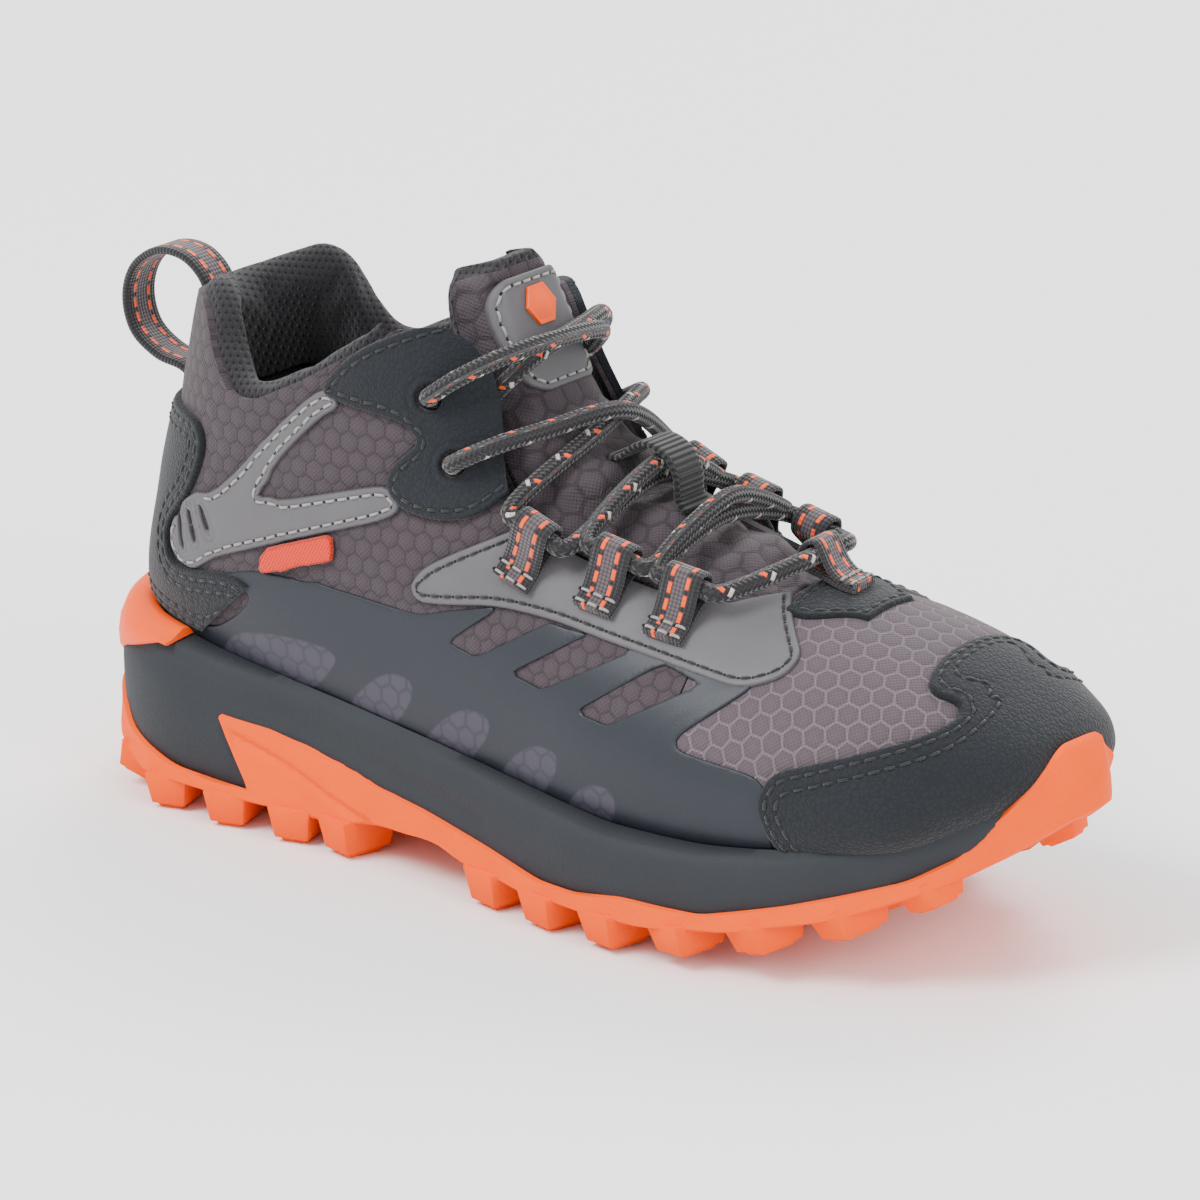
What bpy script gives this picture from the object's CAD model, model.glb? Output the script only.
import math

import bpy
import numpy as np
from mathutils import Matrix, Vector


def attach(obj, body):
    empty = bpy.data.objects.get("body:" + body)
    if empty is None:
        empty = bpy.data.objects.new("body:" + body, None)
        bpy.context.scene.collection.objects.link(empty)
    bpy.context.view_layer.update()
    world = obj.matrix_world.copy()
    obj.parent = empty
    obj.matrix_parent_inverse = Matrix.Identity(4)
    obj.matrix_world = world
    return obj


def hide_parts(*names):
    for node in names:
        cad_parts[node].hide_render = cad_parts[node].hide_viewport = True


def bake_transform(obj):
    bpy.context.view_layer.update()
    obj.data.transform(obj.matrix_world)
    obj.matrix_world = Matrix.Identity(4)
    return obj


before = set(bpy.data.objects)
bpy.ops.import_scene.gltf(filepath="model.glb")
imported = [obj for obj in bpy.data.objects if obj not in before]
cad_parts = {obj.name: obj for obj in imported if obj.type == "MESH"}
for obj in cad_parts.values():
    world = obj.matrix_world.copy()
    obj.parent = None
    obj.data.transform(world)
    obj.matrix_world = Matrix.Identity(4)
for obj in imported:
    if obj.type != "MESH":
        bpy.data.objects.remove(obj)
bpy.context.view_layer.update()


# ---- Studio -------------------------------------------------------------------------------------
# A pale matt floor, three soft lamps overhead and a long lens in front of the outer toe. None of it
# belongs to the boot.
class Wire:
    """A socket of a finish; arithmetic on it adds Math nodes."""

    def __init__(self, finish, socket):
        self.finish = finish
        self.socket = socket

    def math(self, operation, *values):
        inputs = dict(enumerate((self, *values)))
        return self.finish.node("ShaderNodeMath", {"operation": operation}, inputs)

    def __add__(self, other):
        return self.math("ADD", other)

    def __sub__(self, other):
        return self.math("SUBTRACT", other)

    def __rsub__(self, other):
        return self.math("MULTIPLY_ADD", -1.0, other)

    def __mul__(self, other):
        return self.math("MULTIPLY", other)

    def __truediv__(self, other):
        return self.math("DIVIDE", other)

    def __mod__(self, other):
        return self.math("FLOORED_MODULO", other)

    def __abs__(self):
        return self.math("ABSOLUTE")

    __radd__ = __add__
    __rmul__ = __mul__

    def floor(self):
        return self.math("FLOOR")

    def sine(self):
        return self.math("SINE")

    def most(self, other):
        return self.math("MAXIMUM", other)

    def below(self, other):
        return self.math("LESS_THAN", other)

    def ease(self, low, high):
        """0 below low, 1 above high, smooth between."""
        settings = {"interpolation_type": "SMOOTHSTEP"}
        return self.finish.node("ShaderNodeMapRange", settings, {0: self, 1: low, 2: high, 3: 0.0, 4: 1.0})


def tone(red, green, blue):
    """The dye that shows as a screen colour 0-255 under the lamps below."""
    parts = [c / 255 for c in (red, green, blue)]
    linear = [c / 12.92 if c < 0.04045 else ((c + 0.055) / 1.055) ** 2.4 for c in parts]
    return (*[0.62 * c ** 1.35 for c in linear], 1.0)


ORANGE = (0.84, 0.074, 0.0, 1.0)
ORANGE_PALE = (0.88, 0.09, 0.0, 1.0)
ORANGE_DEEP = (0.55, 0.036, 0.0, 1.0)


class Finish:
    """A material made of nodes on the Principled shader."""

    def __init__(self, name, **fixed):
        self.material = bpy.data.materials.new(name)
        self.material.use_nodes = True
        self.tree = self.material.node_tree
        self.shader = self.tree.nodes["Principled BSDF"]
        self.shader.inputs["Specular IOR Level"].default_value = 0.25
        for socket, value in fixed.items():
            self.shader.inputs[socket.replace("_", " ")].default_value = value

    def node(self, kind, settings, inputs, out=0):
        made = self.tree.nodes.new(kind)
        for key, value in settings.items():
            setattr(made, key, value)
        for key, value in inputs.items():
            if isinstance(value, Wire):
                self.tree.links.new(value.socket, made.inputs[key])
            else:
                made.inputs[key].default_value = value
        return Wire(self, made.outputs[out])

    def where(self):
        """Place on the boot, in millimetres."""
        place = self.node("ShaderNodeTexCoord", {}, {}, "Object")
        return self.node("ShaderNodeVectorMath", {"operation": "SCALE"}, {0: place, "Scale": 1000.0})

    def parts(self, vector):
        return [self.node("ShaderNodeSeparateXYZ", {}, {0: vector}, i) for i in range(3)]

    def weave(self):
        """Two lengths along and across the cloth, in millimetres, from the piece's own map."""
        return self.parts(self.node("ShaderNodeUVMap", {"uv_map": "cloth"}, {}))[:2]

    def field(self, name):
        return self.node("ShaderNodeAttribute", {"attribute_name": name}, {}, "Fac")

    def noise(self, where, size, detail=2.0):
        return self.node("ShaderNodeTexNoise", {}, {"Vector": where, "Scale": 1 / size, "Detail": detail})

    def cells(self, where, size, feature="DISTANCE_TO_EDGE"):
        return self.node("ShaderNodeTexVoronoi", {"feature": feature}, {"Vector": where, "Scale": 1 / size})

    def mix(self, share, first, second):
        return self.node("ShaderNodeMix", {"data_type": "RGBA"}, {0: share, 6: first, 7: second}, 2)

    def dress(self, colour, roughness, height, depth):
        """Puts colour, roughness and a relief depth millimetres deep on the shader."""
        relief = {"Height": height, "Distance": depth / 1000, "Strength": 1.0}
        normal = self.node("ShaderNodeBump", {}, relief)
        for socket, value in (("Base Color", colour), ("Roughness", roughness), ("Normal", normal)):
            if isinstance(value, Wire):
                self.tree.links.new(value.socket, self.shader.inputs[socket])
            else:
                self.shader.inputs[socket].default_value = value
        return self.material


FLOOR_SIZE = 9.0
AIR = 1.45      # strength of the light from all round
bpy.ops.object.select_all(action="DESELECT")
bpy.ops.mesh.primitive_plane_add(size=FLOOR_SIZE)
floor = bpy.context.object
floor.name = "studio_floor"
paper = Finish("studio_paper")
floor.data.materials.append(paper.dress((0.93, 0.93, 0.93, 1), 0.9, paper.noise(paper.where(), 400.0), 0.1))

camera = bpy.data.objects.new("camera", bpy.data.cameras.new("camera"))
bpy.context.collection.objects.link(camera)
camera.location = (0.7194, -0.9858, 0.4483)
camera.rotation_euler = (math.radians(72), 0, math.radians(36))
camera.data.sensor_width = 36
camera.data.lens = 201.6
bpy.context.scene.camera = camera


def lamp(name, place, size, power):
    data = bpy.data.lights.new(name, "AREA")
    data.shape = "DISK"
    data.size = size
    data.energy = power
    made = bpy.data.objects.new(name, data)
    made.location = place
    made.rotation_euler = (Vector((0, 0, 0.05)) - Vector(place)).to_track_quat("-Z", "Y").to_euler()
    bpy.context.collection.objects.link(made)


lamp("lamp_key", (-0.5, -1.1, 1.5), 0.9, 40)
lamp("lamp_side", (1.5, -0.5, 0.9), 0.8, 13)
lamp("lamp_back", (-0.3, 1.3, 1.3), 1.0, 22)
world = bpy.data.worlds.new("studio_air")
world.use_nodes = True
world.node_tree.nodes["Background"].inputs["Color"].default_value = (1, 1, 1, 1)
world.node_tree.nodes["Background"].inputs["Strength"].default_value = AIR
bpy.context.scene.world = world


# ---- Lace ---------------------------------------------------------------------------------------
# One round braided polyester lace, charcoal with paired orange and white flecks. It is threaded from
# the toe loop up through six webbing loops and four punched holes, and its ends are tucked inside.
SHIFT = np.array([0.968, 1.765, 0.0])   # from the last's own zero to the middle of the boot, mm
BODY = "boot"
OUTER, INNER = 1, -1

# the last: top x,z / bottom x,z / half widths outer, inner / middle y / height share of the widest
# line / roundness above and below it
STATIONS = np.array([
    [106, 42, 106, 38, 0, 0, 5, 0.45, 2.0, 2.0],
    [102.5, 46, 104.5, 35, 16.5, 12.5, 6, 0.42, 2.2, 2.2],
    [95, 51.5, 98, 30, 26, 21, 4, 0.38, 2.2, 2.6],
    [84, 57.5, 87, 24.5, 34, 30, 2, 0.34, 2.0, 3.0],
    [66, 62.5, 67, 19.5, 38, 35, 1, 0.33, 1.9, 3.2],
    [47, 66, 46, 17, 38.5, 36, 0, 0.32, 1.85, 3.4],
    [29, 70.5, 24, 17, 37, 35, 0, 0.30, 2.0, 3.4],
    [12, 76, -4, 19, 33, 31, 0, 0.30, 2.4, 3.2],
    [0, 84, -40, 22, 30, 29, 0, 0.32, 2.9, 3.0],
    [-7, 93, -80, 25, 29, 29, 0, 0.42, 3.1, 2.7],
    [-12, 102, -99, 37, 29, 29, 0, 0.47, 3.1, 2.5],
    [-16, 111, -98, 60, 28, 28, 0, 0.48, 3.0, 2.3],
    [-19, 119, -93, 82, 27, 27, 0, 0.48, 2.9, 2.2],
    [-21, 126, -88.5, 103, 26, 26, 0, 0.48, 2.8, 2.1],
])


def glide(k, start, way_out, end, way_in):
    """Point at share k of a cubic from start to end with the given speeds."""
    return ((2 * k**3 - 3 * k**2 + 1) * start + (k**3 - 2 * k**2 + k) * way_out
            + (3 * k**2 - 2 * k**3) * end + (k**3 - k**2) * way_in)


def last_point(s, t):
    """Point of the last at station s and share t of the girth: 0 ridge, + outer side, 0.5 bottom."""
    s, t = np.broadcast_arrays(np.asarray(s, float), np.asarray(t, float))
    end = len(STATIONS) - 1
    i = np.clip(np.floor(s).astype(int), 0, end - 1)
    f = (s - i)[..., None]
    a, b = STATIONS[np.maximum(i - 1, 0)], STATIONS[i]
    c, d = STATIONS[i + 1], STATIONS[np.minimum(i + 2, end)]
    m0 = (c - a) / np.where(i == 0, 1, 2)[..., None]
    m1 = (d - b) / np.where(i + 2 > end, 1, 2)[..., None]
    row = glide(f, b, m0, c, m1)
    top_x, top_z, low_x, low_z, outer, inner, middle, belly, up, low = np.moveaxis(row, -1, 0)
    cos, sin = np.cos(2 * np.pi * t), np.sin(2 * np.pi * t)
    power = 2 / np.where(cos >= 0, up, low)
    rise = np.abs(cos) ** power
    p = np.where(cos >= 0, belly + (1 - belly) * rise, belly - belly * rise)
    y = middle - np.sign(sin) * np.abs(sin) ** power * np.where(sin >= 0, outer, inner)
    return np.stack([low_x + (top_x - low_x) * p, y, low_z + (top_z - low_z) * p], -1)


def unit(v):
    return v / np.maximum(np.linalg.norm(v, axis=-1, keepdims=True), 1e-12)


def last_normal(s, t):
    s, t = np.broadcast_arrays(np.asarray(s, float), np.asarray(t, float))
    step = 0.004
    along = last_point(s + step, t) - last_point(s - step, t)
    round_it = last_point(s, t + step) - last_point(s, t - step)
    n = unit(np.cross(along, round_it))
    return np.where((s < 0.02)[..., None], np.array([1.0, 0, 0]), n)


def on_last(s, t, off):
    return last_point(s, t) + last_normal(s, t) * np.asarray(off, float)[..., None]


def smooth_path(points, steps=12, power=0.5, closed=False):
    """Rounded path through points: centripetal, or with power 1 evenly timed."""
    p = np.array(points, float)
    if closed:
        p = np.vstack([p[-1], p, p[0], p[1]])
    else:
        p = np.vstack([2 * p[0] - p[1], p, 2 * p[-1] - p[-2]])
    k = np.linspace(0, 1, steps, endpoint=False)[:, None]
    out = []
    for a, b, c, d in zip(p, p[1:], p[2:], p[3:]):
        t0, t1, t2 = (max(np.linalg.norm(v - u) ** power, 1e-6) for u, v in ((a, b), (b, c), (c, d)))
        m0 = ((b - a) / t0 - (c - a) / (t0 + t1) + (c - b) / t1) * t1
        m1 = ((c - b) / t1 - (d - b) / (t1 + t2) + (d - c) / t2) * t1
        out.append(glide(k, b, m0, c, m1))
    if not closed:
        out.append(p[-2][None])
    return np.vstack(out)


def lengths(path):
    return np.concatenate([[0], np.cumsum(np.linalg.norm(np.diff(path, axis=0), axis=1))])


def spaced(path, count, closed=False):
    """The path again, in evenly spaced points."""
    full = np.vstack([path, path[:1]]) if closed else path
    run = lengths(full)
    marks = np.linspace(0, run[-1], count, endpoint=not closed)
    return np.stack([np.interp(marks, run, full[:, k]) for k in range(full.shape[1])], -1)


def only(made):
    """Selects one object and makes it the active one."""
    bpy.ops.object.select_all(action="DESELECT")
    made.select_set(True)
    bpy.context.view_layer.objects.active = made


def outward(made):
    """Turns all faces of a closed mesh to look outwards."""
    only(made)
    bpy.ops.object.mode_set(mode="EDIT")
    bpy.ops.mesh.select_all(action="SELECT")
    bpy.ops.mesh.normals_make_consistent(inside=False)
    bpy.ops.object.mode_set(mode="OBJECT")


def finished(made, kind, **settings):
    """Adds a modifier and applies it."""
    only(made)
    step = made.modifiers.new("step", kind)
    for key, value in settings.items():
        setattr(step, key, value)
    bpy.ops.object.modifier_apply(modifier="step")


def build(name, points, faces, cloth=None, fields=None, smooth_angle=40):
    """A mesh object from millimetre points of the last's frame."""
    mesh = bpy.data.meshes.new(name)
    places = (np.asarray(points) + SHIFT) / 1000
    mesh.from_pydata(places.tolist(), [], [[int(i) for i in f] for f in faces])
    if cloth is not None:
        layer = mesh.uv_layers.new(name="cloth")
        corner = np.zeros(len(mesh.loops), int)
        mesh.loops.foreach_get("vertex_index", corner)
        layer.data.foreach_set("uv", np.asarray(cloth, float)[corner].ravel())
    for key, values in (fields or {}).items():
        mesh.attributes.new(key, "FLOAT", "POINT").data.foreach_set("value", np.asarray(values, float))
    mesh.update()
    made = bpy.data.objects.new(name, mesh)
    bpy.context.collection.objects.link(made)
    only(made)
    bpy.ops.object.shade_smooth_by_angle(angle=math.radians(smooth_angle))
    return made


def fit(made, material, nodes=(), body=BODY):
    """Gives a piece its finish, its body and the solids that it stands for."""
    made.data.materials.clear()
    made.data.materials.append(material)
    if nodes:
        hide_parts(*nodes)
    if body:
        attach(made, body)
    return made


def tube(path, radius, sides, ends=True):
    """Points, faces and cloth map of a round tube on a path, closed at both ends."""
    run = lengths(path)
    forward = unit(np.gradient(path, axis=0))
    side = unit(np.cross(forward[0], [0.3, 0.5, 0.81]))
    points, cloth = [], []
    angles = np.linspace(0, 2 * np.pi, sides, endpoint=False)
    for i, p in enumerate(path):
        side = unit(side - forward[i] * side.dot(forward[i]))
        up = np.cross(forward[i], side)
        r = radius[i] if hasattr(radius, "__len__") else radius
        points.append(p + r * (np.cos(angles)[:, None] * side + np.sin(angles)[:, None] * up))
        cloth.append(np.stack([np.full(sides, run[i]), angles / (2 * np.pi)], -1))
    n = len(path)
    ring = lambda i: [i * sides + k for k in range(sides)]
    faces = [[a, b, b + sides, a + sides] for i in range(n - 1)
             for a, b in zip(ring(i), ring(i)[1:] + ring(i)[:1])]
    if ends:
        faces += [ring(0)[::-1], ring(n - 1)]
    return np.vstack(points), faces, np.vstack(cloth)


LACE_R = 1.75
WEB_T, WEB_W, FOLD_R = 0.9, 8.0, 2.5
FOLD_OUT = FOLD_R + WEB_T
LOOP_BASE = 2.2
LOOP_REACH, TOE_REACH = 8.0, 7.0
LOOP_FEET = [(5.6, 0.119), (6.4, 0.127), (7.3, 0.15)]
TOE_LOOP_S = 4.42


def towards(s, t):
    return unit(last_point(s + 0.05, t) - last_point(s - 0.05, t))


def loop_frame(s, t, side):
    """Foot of a lace loop, the way from the foot to its fold, and outwards."""
    out = last_normal(s, side * (t - 0.02))
    along = last_point(s, side * (t - 0.02)) - last_point(s, side * (t + 0.02))
    return on_last(s, side * t, LOOP_BASE), unit(along - out * along.dot(out)), out


def toe_frame():
    out = last_normal(4.6, 0)
    along = towards(4.6, 0)
    return on_last(TOE_LOOP_S, 0, LOOP_BASE), unit(along - out * along.dot(out)), out


def fold_centre(frame_of, reach):
    foot, along, out = frame_of
    return foot + along * reach + out * FOLD_OUT


def loop_pass(number, side):
    frame_of = loop_frame(*LOOP_FEET[number], side)
    across = np.cross(frame_of[2], frame_of[1]) * side
    return [fold_centre(frame_of, LOOP_REACH) + across * d for d in (-6.5, -3.5, 0, 3.5, 6.5)]


def toe_pass(y):
    return fold_centre(toe_frame(), TOE_REACH) + np.array([0, y, 0])


UNDER = LACE_R + 1.7
OVER = UNDER + 2 * LACE_R + 0.5


def half_lace(side, lie):
    """From the toe loop to the upper eyelet; side is where it goes first, lie its height at crossings."""
    far = -side
    up = [(8.4, 0.05, 4.2), (8.6, 0.092, 4.7), (8.79, 0.133, 3), (8.8, 0.136, 0), (8.83, 0.138, -2.8),
          (9.1, 0.142, -5.4), (9.4, 0.142, -5.8), (9.7, 0.14, -5.0), (9.87, 0.131, -2.6), (9.9, 0.129, 0),
          (9.91, 0.127, 2.8)]
    return [toe_pass(-side * 3.5), toe_pass(-side * 7), *loop_pass(0, side),
            on_last(6.02, 0, lie[0]), *loop_pass(1, far),
            on_last(6.95, 0, lie[1]), *loop_pass(2, side),
            on_last(8.02, 0, lie[2] + 1), *[on_last(s, far * t, off) for s, t, off in up]]


def tail(side):
    """The lace's end, down along the inside wall to the forefoot."""
    down = [(8.92, 0.108, -5), (8.6, 0.115, -6.5), (8.2, 0.14, -6.7), (7.7, 0.172, -6.8), (6.8, 0.2, -7),
            (5.8, 0.22, -7.5), (4.8, 0.23, -8), (3.9, 0.23, -8.5), (3.2, 0.24, -9), (2.85, 0.27, -11),
            (2.95, 0.33, -14), (3.5, 0.38, -13), (4.3, 0.4, -11.5), (5.1, 0.41, -11), (5.7, 0.42, -11)]
    return [on_last(s, -side * t, off) for s, t, off in down]


FIRST_END = [(9.94, 0.1, 4.6), (9.93, 0.06, 5.8), (9.86, 0.018, 7.6), (9.72, -0.02, 6.8),
             (9.58, -0.038, 2), (9.46, -0.052, -3.2), (9.22, -0.098, -3.8)]
SECOND_END = [(10, -0.1, 4.1), (10.08, -0.06, 4), (9.95, -0.02, 3.7), (9.76, 0.012, 3.6),
              (9.55, 0.042, 1.9), (9.4, 0.058, -3.2), (9.2, 0.098, -3.8)]
first_half = half_lace(OUTER, (OVER, UNDER, UNDER)) + [on_last(*p) for p in SECOND_END] + tail(INNER)
second_half = half_lace(INNER, (UNDER, OVER, OVER)) + [on_last(*p) for p in FIRST_END] + tail(OUTER)
lace_path = smooth_path(first_half[::-1] + [toe_pass(0)] + second_half)
lace_length = lengths(lace_path)[-1]
lace_path = spaced(lace_path, int(lace_length / 1.1))

braid = Finish("lace_braid", Sheen_Weight=0.25, Sheen_Roughness=0.5)
run, turn = braid.weave()
STRAND = 1.05       # length of a crossing along the lace, mm
CARRIERS = 8
one, other = run / STRAND + turn * CARRIERS, run / STRAND - turn * CARRIERS
checker = ((one.floor() + other.floor()) % 2).below(0.5)
across = checker * abs(one % 1 - 0.5) + (1 - checker) * abs(other % 1 - 0.5)
crown = 1 - (across * 2).math("POWER", 2.0)
orange_fleck = (other.floor() % CARRIERS).below(0.5) * (one.floor() % CARRIERS).below(1.5)
white_fleck = (abs(one.floor() % CARRIERS - 3)).below(0.5) * (other.floor() % CARRIERS).below(1.5)
fray = braid.noise(braid.where(), 0.35)
colour = braid.mix(crown * 0.75 + fray * 0.25, tone(18, 17, 20), tone(70, 66, 72))
colour = braid.mix(orange_fleck, colour, ORANGE)
colour = braid.mix(white_fleck, colour, tone(236, 228, 220))
points, faces, cloth = tube(lace_path, LACE_R, 14)
lace = fit(build("lace_braided", points, faces, cloth, smooth_angle=60),
           braid.dress(colour, 0.8, crown * 0.8 + fray * 0.3, 0.35), ["lace"])

# ---- Aglets -------------------------------------------------------------------------------------
# Two dark plastic lace ends, shrunk round the braid with two pressed rings. They lie inside the boot.
AGLET_LONG, AGLET_R = 14.0, 1.3
shrink = Finish("aglet_plastic", Coat_Weight=0.2)
scuff = shrink.noise(shrink.where(), 1.2)
colour = shrink.mix(scuff, tone(24, 24, 26), tone(58, 58, 60))
aglet_plastic = shrink.dress(colour, 0.3 + scuff * 0.25, scuff, 0.05)
for end, name in ((0, "aglet_lateral"), (-1, "aglet_medial")):
    tip = lace_path[end]
    away = unit(lace_path[end] - lace_path[1 if end == 0 else -2])
    bpy.ops.object.select_all(action="DESELECT")
    bpy.ops.mesh.primitive_cylinder_add(vertices=20, radius=AGLET_R / 1000, depth=AGLET_LONG / 1000)
    aglet = bpy.context.object
    aglet.name = name + "_tip"
    bpy.ops.object.mode_set(mode="EDIT")
    bpy.ops.mesh.select_all(action="SELECT")
    for height in (-4.6, -3.8, -3.0, 3.0, 3.8, 4.6):
        bpy.ops.mesh.bisect(plane_co=(0, 0, height / 1000), plane_no=(0, 0, 1))
        bpy.ops.mesh.select_all(action="SELECT")
    bpy.ops.object.mode_set(mode="OBJECT")
    for v in aglet.data.vertices:
        if abs(abs(v.co.z) - 0.0038) < 1e-5:
            v.co.x *= 0.86
            v.co.y *= 0.86
    finished(aglet, "BEVEL", width=0.00025, segments=2, angle_limit=math.radians(50))
    turn_to = Vector((0, 0, 1)).rotation_difference(Vector(away)).to_matrix().to_4x4()
    middle = (tip + SHIFT + away * (AGLET_LONG / 2 + 0.3)) / 1000
    aglet.data.transform(Matrix.Translation(Vector(middle)) @ turn_to)
    bpy.ops.object.shade_smooth_by_angle(angle=math.radians(35))
    fit(aglet, aglet_plastic, [name])

# ---- Outsole ------------------------------------------------------------------------------------
# One moulded orange rubber tub: a sheet under the foam with a wavy side wall, a high toe bumper and
# lugs. It is cemented to the midsole.
PLAN = [(-109, 0), (-106, -12), (-100, -21), (-88, -28.5), (-70, -31), (-45, -31), (-20, -33),
        (0, -37), (20, -41), (40, -43), (60, -41), (78, -35), (92, -26), (103, -14), (109, -4),
        (111, 4), (107, 13), (97, 23), (82, 32), (62, 38), (42, 39), (22, 36), (0, 31), (-20, 28),
        (-45, 28), (-70, 31), (-88, 28.5), (-100, 21), (-106, 12)]
RIM = [(-109, 38), (-100, 36.5), (-80, 35), (-48, 31.5), (-22, 28.5), (5, 25.5), (30, 23), (52, 23.5),
       (70, 25.5), (85, 28.5), (100, 34), (111, 41)]
WALL_TOP = [(-109, 22), (-102, 20), (-95, 14), (-80, 10), (-59, 9), (-58, 24), (-48, 23), (-28, 17),
            (0, 13), (16, 10), (25, 10), (37, 12), (54, 12), (70, 16), (90, 22), (98, 27), (104, 37),
            (111, 45)]
UNDERSIDE = [(-109, 14), (-103, 9.8), (-92, 6.1), (-40, 6.1), (-30, 8.4), (-14, 8.8), (0, 6.5),
             (15, 5.8), (40, 6.4), (60, 9), (80, 14), (94, 19.8), (104, 26), (111, 32)]
LUG_FOOT = [(-106, 6), (-98, 2.5), (-92, 0), (24, 0), (33, 0.5), (40, 1.2), (60, 4), (80, 10),
            (92, 15.5), (102, 21.5)]
EDGE_LUGS = (-98, -84, -68, -52, -38, 2, 17, 33, 49, 65, 80, 93)
MIDDLE_LUGS = (-86, -66, -46, 12, 34, 56, 76)
RING = 480


def look(rows, x):
    rows = np.array(rows, float)
    return np.interp(x, rows[:, 0], rows[:, 1])


def rounded(rows, x, reach=2.5):
    """Table value with its corners rounded over reach millimetres."""
    return np.mean([look(rows, x + d * reach) for d in (-1, -0.6, -0.2, 0.2, 0.6, 1)], axis=0)


plan = spaced(smooth_path(PLAN, closed=True), RING, closed=True)
forward = np.roll(plan, -1, 0) - np.roll(plan, 1, 0)
inward = unit(np.stack([-forward[:, 1], forward[:, 0]], -1))


def ring(d, height):
    """The plan moved in by d, at a height that may depend on x."""
    xy = plan + inward * (np.asarray(d, float) * np.ones(RING))[:, None]
    return np.column_stack([xy, height(xy[:, 0]) if callable(height) else height])


def hug(height, off):
    """Points of the upper at a height, one abreast of each plan point."""
    s, t = np.meshgrid(np.linspace(0.02, 11.5, 300), np.linspace(0.2, 0.8, 161), indexing="ij")
    cloud = on_last(s, t, off * np.ones(s.shape)).reshape(-1, 3)
    found = []
    for (x, y), z in zip(plan, height(plan[:, 0])):
        away = (cloud[:, 0] - x) ** 2 + (cloud[:, 1] - y) ** 2 + (3 * (cloud[:, 2] - z)) ** 2
        found.append(cloud[np.argmin(away)])
    found = np.array(found)
    found[:, 2] = height(found[:, 0])
    for _ in range(3):
        found = (np.roll(found, 1, 0) + found * 2 + np.roll(found, -1, 0)) / 4
    return found


def stack(name, rings, smooth_angle=40):
    """Closed body from stacked rings, closed across at both ends."""
    faces = []
    for r in range(len(rings) - 1):
        for i in range(RING):
            a, b = r * RING + i, r * RING + (i + 1) % RING
            faces.append([a, b, b + RING, a + RING])
    for base, up in ((0, False), ((len(rings) - 1) * RING, True)):
        for i in range(RING // 2):
            f = [base + i, base + i + 1, base + (RING - i - 1) % RING, base + (RING - i) % RING]
            f = f[:3] if i == 0 else [f[0], f[1], f[3]] if i == RING // 2 - 1 else f
            faces.append(f if up else f[::-1])
    return build(name, np.vstack(rings), faces, smooth_angle=smooth_angle)


def near_line(x, z, line):
    """Distance of side-view points from a broken line."""
    p = np.stack([x, z], -1)[..., None, :]
    a, b = np.array(line[:-1], float), np.array(line[1:], float)
    k = np.clip(((p - a) * (b - a)).sum(-1) / ((b - a) ** 2).sum(-1), 0, 1)
    return np.linalg.norm(p - a - (b - a) * k[..., None], axis=-1).min(-1)


WEDGE_GROOVE = [(-56, 20), (-48, 16.5), (-40, 12), (-31, 9)]
WALL_RISE = np.linspace(0, 0.97, 24)
TIP_REACH = 12.0


def swept(x, z):
    """How far the wall is swept back at the tip of its heel wedge."""
    along = np.clip((x + 80) / 15, 0, 1) * np.clip((-34 - x) / 22, 0, 1)
    return TIP_REACH * along * np.clip((z - 9) / 15, 0, 1)


def sweep_back(row):
    row = np.array(row)
    row[:, 0] -= swept(row[:, 0], row[:, 2])
    return row


under = lambda x: rounded(UNDERSIDE, x)
wall_top = lambda x: np.maximum(rounded(WALL_TOP, x, 1.6), under(x) + 3)
bumper = np.clip((plan[:, 0] - 96) / 8, 0, 1)[:, None]
leaning = hug(lambda x: rounded(WALL_TOP, x, 1.6), 2.1)
rings = [ring(6, lambda x: under(x) + 0.6), ring(2.6, under), ring(0.6, lambda x: under(x) + 0.3)]
for rise in WALL_RISE:
    z = under(plan[:, 0]) + 1 + (wall_top(plan[:, 0]) - under(plan[:, 0]) - 1) * rise
    groove = 1.1 * np.exp(-((near_line(plan[:, 0], z, WEDGE_GROOVE) / 0.75) ** 2))
    below_groove = np.clip((look(WEDGE_GROOVE, plan[:, 0]) - z) / 0.8, 0, 1)
    panel_in = 0.5 * below_groove * (np.abs(plan[:, 0] + 43) < 14)
    wave = 0.35 * np.sin(plan[:, 0] / 2.6) * np.exp(-(((z - under(plan[:, 0]) - 2) / 3) ** 2))
    row = ring(-0.75 + groove + panel_in + wave, z)
    lean = bumper * max(0, (rise - 0.35) / 0.65) ** 1.5
    row[:, :2] = row[:, :2] * (1 - lean) + leaning[:, :2] * lean
    rings.append(row)
lip = ring(0.1, lambda x: wall_top(x) + 0.15)
lip[:, :2] = lip[:, :2] * (1 - bumper) + (leaning[:, :2] + inward * 0.9) * bumper
inner_lip = ring(1.3, lambda x: wall_top(x) - 0.4)
inner_lip[:, :2] = inner_lip[:, :2] * (1 - bumper) + (leaning[:, :2] + inward * 2.0) * bumper
rings += [lip, inner_lip, ring(2.2, lambda x: np.minimum(under(x) + 5, wall_top(x) - 1)),
          ring(4, lambda x: under(x) + 2.5)]
outsole = stack("outsole_rubber", [sweep_back(row) for row in rings])

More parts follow.
